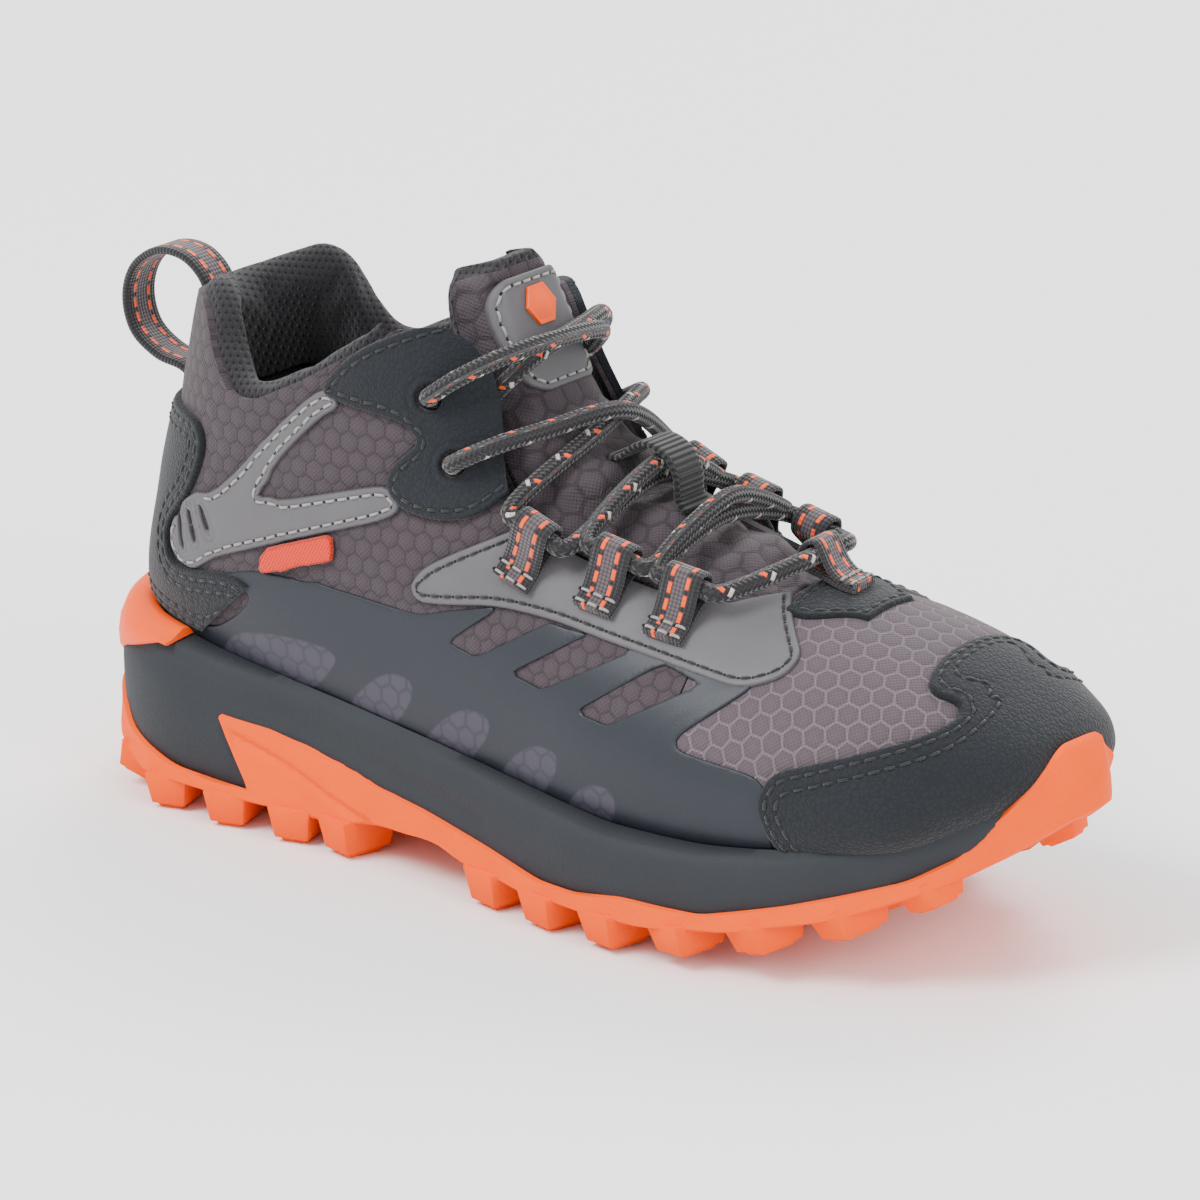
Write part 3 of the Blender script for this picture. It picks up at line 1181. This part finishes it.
def tube_faces(base, rings):
    """Faces of a small closed six-sided tube whose points start at base."""
    faces = []
    for i in range(rings - 1):
        for j in range(6):
            x, y = base + i * 6 + j, base + i * 6 + (j + 1) % 6
            faces.append([x, y, y + 6, x + 6])
    last = base + (rings - 1) * 6
    return faces + [[base + j for j in range(5, -1, -1)], [last + j for j in range(6)]]


def sew(name, sewn, material, keep=lambda p: True, pitch=PITCH):
    """Rows of single stitches, each dipping into a needle hole at both ends."""
    points, faces = [], []
    hole_points, hole_faces = [], []
    spin = np.linspace(0, 2 * np.pi, 6, endpoint=False)
    cos, sin = np.cos(spin)[:, None], np.sin(spin)[:, None]
    for runs in sewn:
        for path, normals in runs:
            if len(path) < 3:
                continue
            run = lengths(path)
            count = int(run[-1] / pitch)
            for k in range(count):
                middle = (k + 0.5) * run[-1] / max(count, 1)
                marks = middle + STITCH / 2 * np.array([-1, -0.82, -0.3, 0.3, 0.82, 1])
                p = np.stack([np.interp(marks, run, path[:, i]) for i in range(3)], -1)
                n = unit(np.stack([np.interp(marks, run, normals[:, i]) for i in range(3)], -1))
                if not keep(p[2]):
                    continue
                way = unit(p[-1] - p[0])
                across = unit(np.cross(way, n))
                base = len(points) * 6
                for q, m, c, lift, r in zip(p, n, across, STITCH_RISE, STITCH_GIRTH):
                    round_it = cos * m * 0.85 + sin * c
                    points.append(q + m * lift * 0.8 + THREAD_R * r * round_it)
                faces += tube_faces(base, 6)
                gap = p[-1] + way * (pitch - STITCH) / 2
                start = len(hole_points) * 6
                for lift, r in NEEDLE_HOLE:
                    hole_points.append(gap + n[-1] * lift + r * (cos * way + sin * across[-1]))
                hole_faces += tube_faces(start, 3)
    if points:
        for label, some, which, finish in (("_stitches", points, faces, material),
                                           ("_holes", hole_points, hole_faces, hole_black)):
            made = build(name + label, np.vstack(some), which, smooth_angle=80)
            outward(made)
            fit(made, finish)


def above_rim(p):
    return p[2] > float(look(RIM, p[0])) + 1.5


NUBUCK_TOP = 1.35
a, b = mesh_grid(96, 150)
s, t = 4.4 * a, -0.4 + 0.8 * b
points = on_last(s, t, 0 * s)
made, sewn = panel("toe_cap_nubuck", s, t, inside(shapes["toe"], points), NUBUCK_TOP, (1.7, 3.9))
fit(made, slate_nubuck, ["toe_cap"])
sew("toe_cap", sewn, dark_thread, above_rim)
a, b = mesh_grid(96, 120)
s, t = 9.3 + 3.0 * a, 0.24 + 0.52 * b
points = on_last(s, t, 0 * s)
made, sewn = panel("heel_nubuck", s, t, inside(shapes["heel"], points), NUBUCK_TOP, (1.7, 3.9))
fit(made, slate_nubuck, ["heel_overlay"])
sew("heel", sewn, dark_thread, above_rim)
a, b = mesh_grid(30, 50)
wide = 0.036 + 0.026 * np.clip(a / 0.8, 0, 1) ** 2 * (3 - 2 * np.clip(a / 0.8, 0, 1))
s, t = 3.95 + 0.75 * a, (-1 + 2 * b) * 0.07
points = on_last(s, t, 0 * s)
girth = np.linalg.norm(last_point(s, 0 * t + 0.01) - last_point(s, 0 * t), axis=-1) * 100
length_in = np.minimum(a, 1 - a) * np.linalg.norm(last_point(4.7, 0) - last_point(3.95, 0))
field = np.minimum((wide - np.abs(t)) * girth, length_in)
made, sewn = panel("throat_tab_nubuck", s, t, field, NUBUCK_TOP, (1.5,))
fit(made, slate_nubuck, ["throat_tab"])
sew("throat_tab", sewn, dark_thread)
for side, word in ((OUTER, "lateral"), (INNER, "medial")):
    s, t = side_skin(side)
    points = on_last(s, t, 0 * s)
    field = inside(shapes["ankle"], points)
    for es, et in EYELETS:
        field = np.minimum(field, np.linalg.norm(points - last_point(es, side * et), axis=-1) - EYELET_R)
    made, sewn = panel("ankle_nubuck_" + word, s, t, field, NUBUCK_TOP + 0.15, (1.8,))
    fit(made, slate_nubuck, ["ankle_stay_" + word])
    eyes = [last_point(es, side * et) for es, et in EYELETS]
    off_eyes = lambda p: min(np.linalg.norm(p - e) for e in eyes) > EYELET_R + 3
    sew("ankle_" + word, sewn, dark_thread, off_eyes)

# ---- Synthetic straps and eyestays --------------------------------------------------------------
# Smooth mid-grey coated microfibre: a forked strap from the heel to the ankle with three slits, and an
# eyestay that carries the lace loops. The strap is edged with light grey stitches, the eyestay with dark.
coat = Finish("grey_microfibre", Specular_IOR_Level=0.3)
where = coat.where()
pores = coat.noise(where, 0.3)
cloudy = coat.noise(where, 12.0)
cut_edge = 1 - coat.field("edge").ease(0.0, 0.5)
colour = coat.mix(cloudy * 0.6 + pores * 0.4, tone(122, 120, 123), tone(142, 140, 143))
colour = coat.mix(cut_edge * 0.5, colour, tone(96, 94, 97))
grey_microfibre = coat.dress(colour, 0.46 + pores * 0.14, pores, 0.07)
SYNTHETIC_TOP = 1.0
SLITS = [[(-79.5, 54.5), (-80.5, 60.5)], [(-75.5, 56.5), (-77.5, 62)], [(-71.5, 59), (-73.8, 63.5)]]
for side, word in ((OUTER, "lateral"), (INNER, "medial")):
    s, t = side_skin(side)
    points = on_last(s, t, 0 * s)
    field = np.minimum(inside(shapes["strap"], points), 1.0 - inside(shapes["ankle"], points))
    field = np.minimum(field, 1.0 - inside(shapes["heel"], points))
    slit = np.min([near_line(points[..., 0], points[..., 2], line) for line in SLITS], axis=0) - 0.55
    made, sewn = panel("strap_" + word, s, t, np.minimum(field, slit), SYNTHETIC_TOP, (1.5,))
    fit(made, grey_microfibre, ["y_strap_" + word])
    clear_of = lambda p: (inside(shapes["ankle"], p[None])[0] < 0 and inside(shapes["heel"], p[None])[0] < 0
                          and min(near_line(p[0:1], p[2:3], line).min() for line in SLITS) > 2.6)
    sew("strap_" + word, sewn, light_thread, clear_of)
    field = np.minimum(inside(shapes["eyestay"], points), 1.0 - inside(shapes["ankle"], points))
    made, sewn = panel("eyestay_grey_" + word, s, t, field, SYNTHETIC_TOP, (1.6,))
    fit(made, grey_microfibre, ["eyestay_" + word])
    sew("eyestay_" + word, sewn, dark_thread, lambda p: inside(shapes["ankle"], p[None])[0] < 0)

# ---- Heel clip ----------------------------------------------------------------------------------
# An orange plastic band let into the foam round the back of the heel, its ends drawn out to points on
# both sides. It is moulded on and cemented between foam and heel overlay.
CLIP_LOW = [(-109, 24.5), (-103, 26.5), (-97, 30), (-88, 33.2), (-80, 36)]
CLIP_SECTION = [(1.2, 0.0, 0.3), (-0.4, 0.0, 0.0), (-0.95, 0.1, 0.0), (-1.15, 0.4, 0.0),
                (-0.7, 0.7, 0.0), (0.5, 0.95, 0.0), (2.0, 1.0, 0.7)]
CLIP_LIFT = 2.4
leaning = hug(lambda x: rim(x) + CLIP_LIFT, 1.5)
arc = [i for i in range(-90, 91) if plan[i, 0] < -80.5]
rows = []
for i in arc:
    x = plan[i, 0]
    low, high = min(float(look(CLIP_LOW, x)), float(rim(x)) - 0.4), float(rim(x)) + 0.5
    row = [[*(plan[i] + inward[i] * d), low + (high - low) * k + lift] for d, k, lift in CLIP_SECTION]
    brow = (np.array(row[-1]) + leaning[i]) / 2 + [0, 0, 0.5]
    under_brow = leaning[i] + [*(inward[i] * 1.2), -1.4]
    rows.append(row + [brow, leaning[i], under_brow])
n = len(CLIP_SECTION) + 3


def band_faces(rows, n):
    """Faces of a closed band made of rows of n points each."""
    faces = [[r * n + k, r * n + (k + 1) % n, (r + 1) * n + (k + 1) % n, (r + 1) * n + k]
             for r in range(rows - 1) for k in range(n)]
    return faces + [list(range(n))[::-1], [(rows - 1) * n + k for k in range(n)]]


faces = band_faces(len(arc), n)
clip = build("heel_clip_band", np.array(rows).reshape(-1, 3), [f[::-1] for f in faces], smooth_angle=60)
shell = Finish("orange_plastic", Specular_IOR_Level=0.12)
where = shell.where()
orange_peel = shell.noise(where, 0.9)
drift = shell.noise(where, 18.0)
colour = shell.mix(drift, ORANGE, ORANGE_PALE)
fit(clip, shell.dress(colour, 0.4 + orange_peel * 0.12, orange_peel, 0.05), ["heel_clip"])

# ---- Side tag -----------------------------------------------------------------------------------
# A small red-orange woven label caught under the strap's lower edge, left plain.
TAG = [(-58, 53.6), (-57.6, 58.8), (-40.6, 64.8), (-40.2, 59.4)]
label = Finish("woven_label", Sheen_Weight=0.2)
where = label.where()
x, y, z = label.parts(where)
grain = ((x * 7.0 + z * 2.0).sine() * (z * 7.0 - x * 2.0).sine()) * 0.5 + 0.5
border = 1 - label.field("edge").ease(0.35, 0.6)
colour = label.mix(grain, (0.4, 0.012, 0.002, 1), (0.75, 0.032, 0.003, 1))
colour = label.mix(border * 0.5, colour, (0.22, 0.008, 0.002, 1))
label_cloth = label.dress(colour, 0.8, grain * 0.6 + border * 0.4, 0.2)
s, t = side_skin(OUTER)
points = on_last(s, t, 0 * s)
made, _ = panel("side_tag_label", s, t, inside(cornered(TAG, 2, 0.06), points), 1.75, base=0.9, edge=0.3)
fit(made, label_cloth, ["side_tag"])

# ---- Collar pad ---------------------------------------------------------------------------------
# A foam roll in dark spacer knit round the ankle: it shows as a soft rim above the cloth and runs down
# inside the shaft, sewn to the quarters along the top line and to the lining below.
ROLL = [(-1.3, -4.0), (-0.9, -1.2), (-0.7, 0.4), (-1.6, 2.2), (-3.6, 3.2), (-5.8, 2.4),
        (-7.3, 0.0), (-8.0, -4.0), (-7.8, -9.0), (-6.4, -16), (-4.4, -22), (-3.4, -22.5),
        (-2.9, -15), (-2.4, -8)]


SWELL_FRAMES = 20


def swell(made, held, pressure, cap, slack=0.0):
    """Cloth simulation that fills a padded piece; held points stay, no point moves over cap millimetres."""
    before = np.array([v.co for v in made.data.vertices])
    made.vertex_groups.new(name="held").add([int(i) for i in held], 1.0, "REPLACE")
    only(made)
    fill = made.modifiers.new("fill", "CLOTH")
    fill.settings.vertex_group_mass = "held"
    fill.settings.mass = 0.2
    fill.settings.quality = 6
    fill.settings.use_pressure = True
    fill.settings.uniform_pressure_force = pressure
    fill.settings.shrink_min = -slack
    fill.settings.effector_weights.gravity = 0
    fill.point_cache.frame_start, fill.point_cache.frame_end = 1, SWELL_FRAMES
    for number in range(1, SWELL_FRAMES + 1):
        bpy.context.scene.frame_set(number)
    bpy.ops.object.modifier_apply(modifier="fill")
    bpy.context.scene.frame_set(1)
    after = np.array([v.co for v in made.data.vertices])
    step = after - before
    far = np.linalg.norm(step, axis=1, keepdims=True) * 1000
    after = before + step * np.minimum(1, cap / np.maximum(far, 1e-6))
    made.data.vertices.foreach_set("co", after.ravel())
    made.vertex_groups.clear()
    made.data.update()


ROLL_SIDES, COLLAR_ROWS, COLLAR_END = 44, 150, 0.165
section = spaced(smooth_path(ROLL, closed=True), ROLL_SIDES, closed=True)
t = np.linspace(COLLAR_END, 1 - COLLAR_END, COLLAR_ROWS)[:, None] * np.ones(ROLL_SIDES)
line = collar_line(t)
stretch = np.linalg.norm(last_point(line, t) - last_point(line - 0.05, t), axis=-1) / 0.05
ends = np.clip(np.minimum(t - COLLAR_END, 1 - COLLAR_END - t) / 0.02, 0.12, 1)
quilt = 1 + 0.05 * np.sin(t * 2 * math.pi * 11)
off = -2.6 + (section[:, 0] + 2.6) * ends * quilt
points = on_last(line + section[:, 1] / stretch, t, off).reshape(-1, 3)
n = ROLL_SIDES
end = COLLAR_ROWS - 1
faces = [[r * n + k, (r + 1) * n + k, (r + 1) * n + (k + 1) % n, r * n + (k + 1) % n]
         for r in range(end) for k in range(n)] + [list(range(n)), [end * n + k for k in range(n)][::-1]]
collar = build("collar_roll", points, faces, smooth_angle=80)
outward(collar)
sewn_down = (section[:, 1] < -14) | (section[:, 0] > -1.4)
swell(collar, [i for i in range(len(points)) if sewn_down[i % n] or i // n in (0, end)], 0.6, 1.2, 0.02)
finished(collar, "SUBSURF", levels=1, render_levels=1)
fit(collar, lining, ["collar_pad"])

# ---- Tongue and gussets -------------------------------------------------------------------------
# A foam-filled tongue: hexagon ripstop in front, dark knit round its edge and behind. It is sewn in at
# the foot of the throat and tied to the sides by two thin folded gussets that keep water out.
TONGUE_HALF = [(4.85, 0.05), (5.6, 0.083), (7.3, 0.102), (8.2, 0.095), (8.8, 0.078), (9.4, 0.072),
               (10.2, 0.073), (11.0, 0.075), (11.45, 0.066), (11.7, 0.048), (11.8, 0.03)]
FLEX_START, FLEX_END = (0.050, 0.0, 0.064), (0.028, 0.0, 0.071)


def tongue_half(s):
    return rounded(TONGUE_HALF, s, 0.15)


def tongue_face(s, t):
    crown = look([(4.85, -1.6), (5.3, 0.2), (6, 0.6), (8, 0.5), (8.8, 0)], s)
    drop = look([(4.85, 0.5), (5.4, 2.6), (8, 3), (8.6, 7), (9.4, 8), (11, 7)], s)
    k = np.clip((np.abs(t) / tongue_half(s) - 0.25) / 0.75, 0, 1)
    return crown - drop * k * k * (3 - 2 * k)


def tongue_relief(s, t):
    """Soft bulges between the crossings of the lace, and small creases at the foot."""
    side = np.abs(t) / tongue_half(s)
    laced = np.clip((8.6 - s) / 0.4, 0, 1) * np.clip((s - 5.0) / 0.3, 0, 1)
    between = np.cos((s - 5.52) * 2 * np.pi / 0.98) * laced
    crease = np.sin(t * 150 + s * 9) * np.clip((6.4 - s) / 1.2, 0, 1)
    upper = np.clip((s - 8.6) / 0.5, 0, 1) * np.sin((s - 8.6) * 5) * 0.25
    return (1.1 * between + 0.35 * crease + upper) * (1 - side**2)


TONGUE_FOOT, TONGUE_LONG = 4.85, 6.95
a, b = mesh_grid(120, 44)
s = TONGUE_FOOT + TONGUE_LONG * a
t = (2 * b - 1) * tongue_half(s)
front = tongue_face(s, t) + tongue_relief(s, t)
pad = look([(4.85, 1.5), (5.6, 3), (8, 4), (11, 5), (11.8, 2)], s)
back = tongue_face(s, t) - 1.2 - pad * np.sqrt(np.maximum(1 - (2 * b - 1) ** 2, 0))
cloth = unrolled(on_last(s, t, 0 * s), last_normal(s, t), (0.7071, 0, 0.7071), 22)
tongue = draped("tongue_padded", s, t, front, back, cloth, 80)
count = a.size
grid_edge = ((a < 0.02) | (b < 0.01) | (b > 0.99)).ravel()
swell(tongue, np.flatnonzero(np.concatenate([grid_edge, grid_edge])), 0.5, 0.9, 0.03)
tongue_cloth = ripstop("tongue_ripstop", 5.2, tone(118, 108, 114), tone(78, 70, 76), 0.12, 0.9, 0.5)
tongue.data.materials.append(tongue_cloth)
tongue.data.materials.append(lining)
flat_a, flat_b = a.ravel(), np.abs(b.ravel() - 0.5)
shared = np.zeros(len(tongue.data.polygons), int)
for face in tongue.data.polygons:
    i = face.vertices[0]
    shared[face.index] = 0 if max(face.vertices) < count and flat_a[i] < 0.965 and flat_b[i] < 0.475 else 1
tongue.data.polygons.foreach_set("material_index", shared)
finished(tongue, "SUBSURF", levels=1, render_levels=1)
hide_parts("tongue")
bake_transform(tongue)
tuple(FLEX_START)
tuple(FLEX_END)
for side, word in ((OUTER, "lateral"), (INNER, "medial")):
    a, b = mesh_grid(40, 18)
    s = 5.9 + 2.1 * a
    inner_edge = tongue_half(s) + 0.004
    t = side * (inner_edge + (0.155 - inner_edge) * b)
    folds = -4.2 - 0.25 * np.sin(b * 2 * math.pi * 1.5 + a * 3)
    cloth = unrolled(on_last(s, t, 0 * s), last_normal(s, t), (0, 0, 1), 9)
    gusset = draped("gusset_" + word, s, t, folds, folds - 0.4, cloth)
    fit(gusset, quarter_cloth, ["tongue_gusset_" + word])
    reach = np.linalg.norm(np.diff(on_last(s, t, folds), axis=0), axis=-1).sum(0).mean()
    across = np.linalg.norm(np.diff(on_last(s, t, folds), axis=1), axis=-1).sum(1).mean()
    round(across / 1000, 4)

# ---- Tongue patch, badge and keeper -------------------------------------------------------------
# On the tongue: a grey microfibre patch edge-stitched in light thread, a plain orange hexagon badge
# bonded to it, and a ribbed webbing keeper over the crossing laces, which hold its top as its feet sink.
a, b = mesh_grid(90, 60)
s, t = 8.95 + 2.4 * a, (2 * b - 1) * 0.052
points = on_last(s, t, 0 * s)
wide = 0.030 + 0.011 * np.clip(a / 0.7, 0, 1) ** 2 * (3 - 2 * np.clip(a / 0.7, 0, 1))
girth = np.linalg.norm(last_point(s, t + 0.01) - last_point(s, t), axis=-1) * 100
upward = np.linalg.norm(last_point(s + 0.05, t) - last_point(s, t), axis=-1) * 20
PATCH_FOOT, PATCH_HEAD, PATCH_CORNER, PATCH_TOP = 9.0, 11.3, 5.0, 1.4
dx = (wide - np.abs(t)) * girth
dy = np.minimum(s - PATCH_FOOT, PATCH_HEAD - s) * upward
near_corner = (dx < PATCH_CORNER) & (dy < PATCH_CORNER)
from_centre = np.sqrt(np.maximum(PATCH_CORNER - dx, 0) ** 2 + np.maximum(PATCH_CORNER - dy, 0) ** 2)
field = np.where(near_corner, PATCH_CORNER - from_centre, np.minimum(dx, dy))
made, sewn = panel("tongue_patch_grey", s, t, field, PATCH_TOP, (1.5,), base=0.5,
                   lie=lambda s, t: tongue_face(s, t) + tongue_relief(s, t) * 0.5)
fit(made, grey_microfibre, ["tongue_patch"], "tongue_body")
sew("tongue_patch", sewn, light_thread)
for piece in ("tongue_patch_stitches", "tongue_patch_holes"):
    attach(bpy.data.objects[piece], "tongue_body")

BADGE_R, BADGE_T, BADGE_S = 4.4, 0.8, 10.6
bpy.ops.object.select_all(action="DESELECT")
bpy.ops.mesh.primitive_cylinder_add(vertices=6, radius=BADGE_R / 1000, depth=BADGE_T / 1000)
badge = bpy.context.object
badge.name = "badge_hexagon"
for face in badge.data.polygons:
    face.select = face.normal.z > 0.9
bpy.ops.object.mode_set(mode="EDIT")
bpy.ops.mesh.select_mode(type="FACE")
bpy.ops.mesh.inset(thickness=0.0008)
bpy.ops.transform.translate(value=(0, 0, -0.00025))
bpy.ops.mesh.inset(thickness=0.0011)
bpy.ops.transform.translate(value=(0, 0, 0.00025))
bpy.ops.object.mode_set(mode="OBJECT")
finished(badge, "BEVEL", width=0.00012, segments=2)
out = Vector(last_normal(BADGE_S, 0))
up = Vector(towards(BADGE_S, 0))
up = (up - out * up.dot(out)).normalized()
turned = Matrix((up, out.cross(up), out)).transposed().to_4x4()
badge_off = float(tongue_face(np.array(BADGE_S), np.array(0.0))) + PATCH_TOP + 0.35
badge_at = on_last(BADGE_S, 0, badge_off) + SHIFT
badge.data.transform(Matrix.Translation(Vector(badge_at) / 1000) @ turned)
bpy.ops.object.shade_smooth_by_angle(angle=math.radians(30))
gum = Finish("badge_gum", Coat_Weight=0.1)
where = gum.where()
fine = gum.noise(where, 0.5)
fit(badge, gum.dress(gum.mix(fine, ORANGE, ORANGE_PALE), 0.42 + fine * 0.1, fine, 0.04),
    ["tongue_badge"], "tongue_body")


def ribbon(name, path, across, width, thick, smooth_angle=60):
    """Webbing along a path: a flat closed band with rounded edges, mapped along and across."""
    share = np.array([-1, -0.96, -0.8, -0.5, -0.2, 0.2, 0.5, 0.8, 0.96, 1])
    high = np.array([0.35, 0.8, 1, 1, 1, 1, 1, 1, 0.8, 0.35])
    w = np.concatenate([share, share[::-1]]) * width / 2
    h = np.concatenate([high, -high[::-1]]) * thick / 2
    forward = unit(np.gradient(path, axis=0))
    across = np.broadcast_to(across, path.shape)
    across = unit(across - forward * (across * forward).sum(-1, keepdims=True))
    out = np.cross(forward, across)
    points = path[:, None] + across[:, None] * w[:, None] + out[:, None] * h[:, None]
    n, rows = len(w), len(path)
    cloth = np.stack([np.repeat(lengths(path), n), np.tile(w, rows)], -1)
    faces = band_faces(rows, n)
    made = build(name, points.reshape(-1, 3), faces, cloth, smooth_angle=smooth_angle)
    outward(made)
    return made


KEEPER = [(6.34, 2.2), (6.46, 3.6), (6.56, 7.6), (6.72, 10.1), (6.95, 10.8), (7.18, 10.1),
          (7.34, 7.6), (7.44, 3.6), (7.58, 2.2)]
ribbed = Finish("ribbed_webbing", Sheen_Weight=0.2)
run, wide = ribbed.weave()
where = ribbed.where()
rib = (run * (2 * math.pi / 1.15)).sine() * 0.5 + 0.5
edge_yarn = (abs(wide)).ease(3.7, 4.1)
fuzz = ribbed.noise(where, 0.4)
rib = rib * (1 - edge_yarn) + edge_yarn * ((run * 5.0).sine() * 0.5 + 0.5)
colour = ribbed.mix(rib * 0.7 + fuzz * 0.3, tone(24, 24, 26), tone(78, 76, 80))
ribbed_webbing = ribbed.dress(colour, 0.85, rib * 0.8 + fuzz * 0.2, 0.45)
keeper_path = spaced(smooth_path([on_last(s, 0, off) for s, off in KEEPER]), 70)
keeper = ribbon("keeper_webbing", keeper_path, (0, 1, 0), 9.0, 1.1)
fit(keeper, ribbed_webbing, ["tongue_keeper"], None)
KEEPER_MIDDLE, KEEPER_GIVES = 6.95, (3.0, 8.5)      # its legs give between these heights, mm
[tuple((on_last(KEEPER_MIDDLE, 0, off) + SHIFT) / 1000) for off in KEEPER_GIVES]
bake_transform(keeper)

# ---- Lace loops ---------------------------------------------------------------------------------
# Folded woven webbing, dark at the edges with a mauve middle and two rows of orange floats. Seven
# short loops: three on each eyestay and one on the throat tab, each sewn down across its foot.
def webbing(name, row_at, dash=2.3, pitch=3.3):
    made = Finish(name, Sheen_Weight=0.25, Sheen_Roughness=0.5)
    run, wide = made.weave()
    where = made.where()
    one, other = (run + wide) * (math.pi / 0.8), (run - wide) * (math.pi / 0.8)
    plait = (one.sine() * other.sine()) * 0.5 + 0.5
    fuzz = made.noise(where, 0.35)
    middle = 1 - abs(wide).ease(row_at - 0.75, row_at - 0.35)
    colour = made.mix(plait * 0.65 + fuzz * 0.35, tone(38, 37, 40), tone(86, 83, 88))
    colour = made.mix(middle, colour, made.mix(plait, tone(92, 84, 88), tone(140, 130, 134)))
    row = 1 - abs(abs(wide) - row_at).ease(0.32, 0.5)
    late = (wide * 10.0).ease(-1, 1) * (pitch / 2)
    step = abs((run + late) % pitch - pitch / 2)
    float_ = row * (1 - step.ease(dash / 2 - 0.25, dash / 2 + 0.1))
    colour = made.mix(float_, colour, ORANGE)
    height = plait * 0.5 + fuzz * 0.2 + float_ * 0.45
    return made.dress(colour, 0.82, height, 0.4)


loop_web = webbing("loop_webbing", 1.75)
turn_points = [(FOLD_R + WEB_T / 2) * np.array([math.sin(k), -math.cos(k)])
               for k in np.linspace(0, math.pi, 9)]


def lace_loop(name, frame_of, reach, drop):
    """A folded loop: foot, round fold over the lace, and back to the foot. Gives its rows of stitches."""
    foot, along, out = frame_of
    side = np.cross(out, along)
    flat = [(-2.6, WEB_T / 2 - drop), (0.6, WEB_T / 2 - drop), (3.6, WEB_T / 2 - drop * 0.35)]
    flat += [(reach + p[0], FOLD_OUT + p[1]) for p in turn_points]
    flat += [(3.4, 2.4 - drop * 0.3), (0.8, 1.45 - drop), (-2.6, 1.4 - drop)]
    path = spaced(smooth_path([foot + along * x + out * h for x, h in flat], 8), 64)
    made = ribbon(name + "_webbing", path, side, WEB_W, WEB_T)
    fit(made, loop_web, [name])
    w = np.linspace(-WEB_W / 2, WEB_W / 2, 20)[:, None]
    rows = []
    for x in (-1.9, 0.3):
        top = out * (1.4 + WEB_T / 2 - drop + 0.02)
        rows.append((foot + along * x + top + side * w, np.tile(out, (20, 1))))
    return rows


loop_rows = []
for side, word in ((OUTER, "lateral"), (INNER, "medial")):
    for number, place in enumerate(LOOP_FEET, 1):
        loop_rows += lace_loop(f"lace_loop_{word}_{number}", loop_frame(*place, side), LOOP_REACH, 1.1)
loop_rows += lace_loop("lace_loop_toe", toe_frame(), TOE_REACH, 0.75)
sew("lace_loops", [loop_rows], light_thread, pitch=2.6)

# ---- Pull loop ----------------------------------------------------------------------------------
# A finger loop of the same webbing, wider, sewn in at the top of the heel so that it stands out behind.
PULL_PATH = [(-91.2, 95.5), (-92.2, 100.5), (-97, 104.6), (-104, 105), (-110, 101), (-112.3, 94.5),
             (-110.5, 87.8), (-104.5, 83.6), (-98.5, 82.3), (-95.2, 80.5)]
pull_path = spaced(smooth_path([(x, 0.0, z) for x, z in PULL_PATH]), 120)
pull = ribbon("pull_loop_webbing", pull_path, (0, 1, 0), 9.0, 1.6)
pull.data.materials.append(webbing("pull_webbing", 2.1))
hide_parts("pull_loop")
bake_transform(pull)
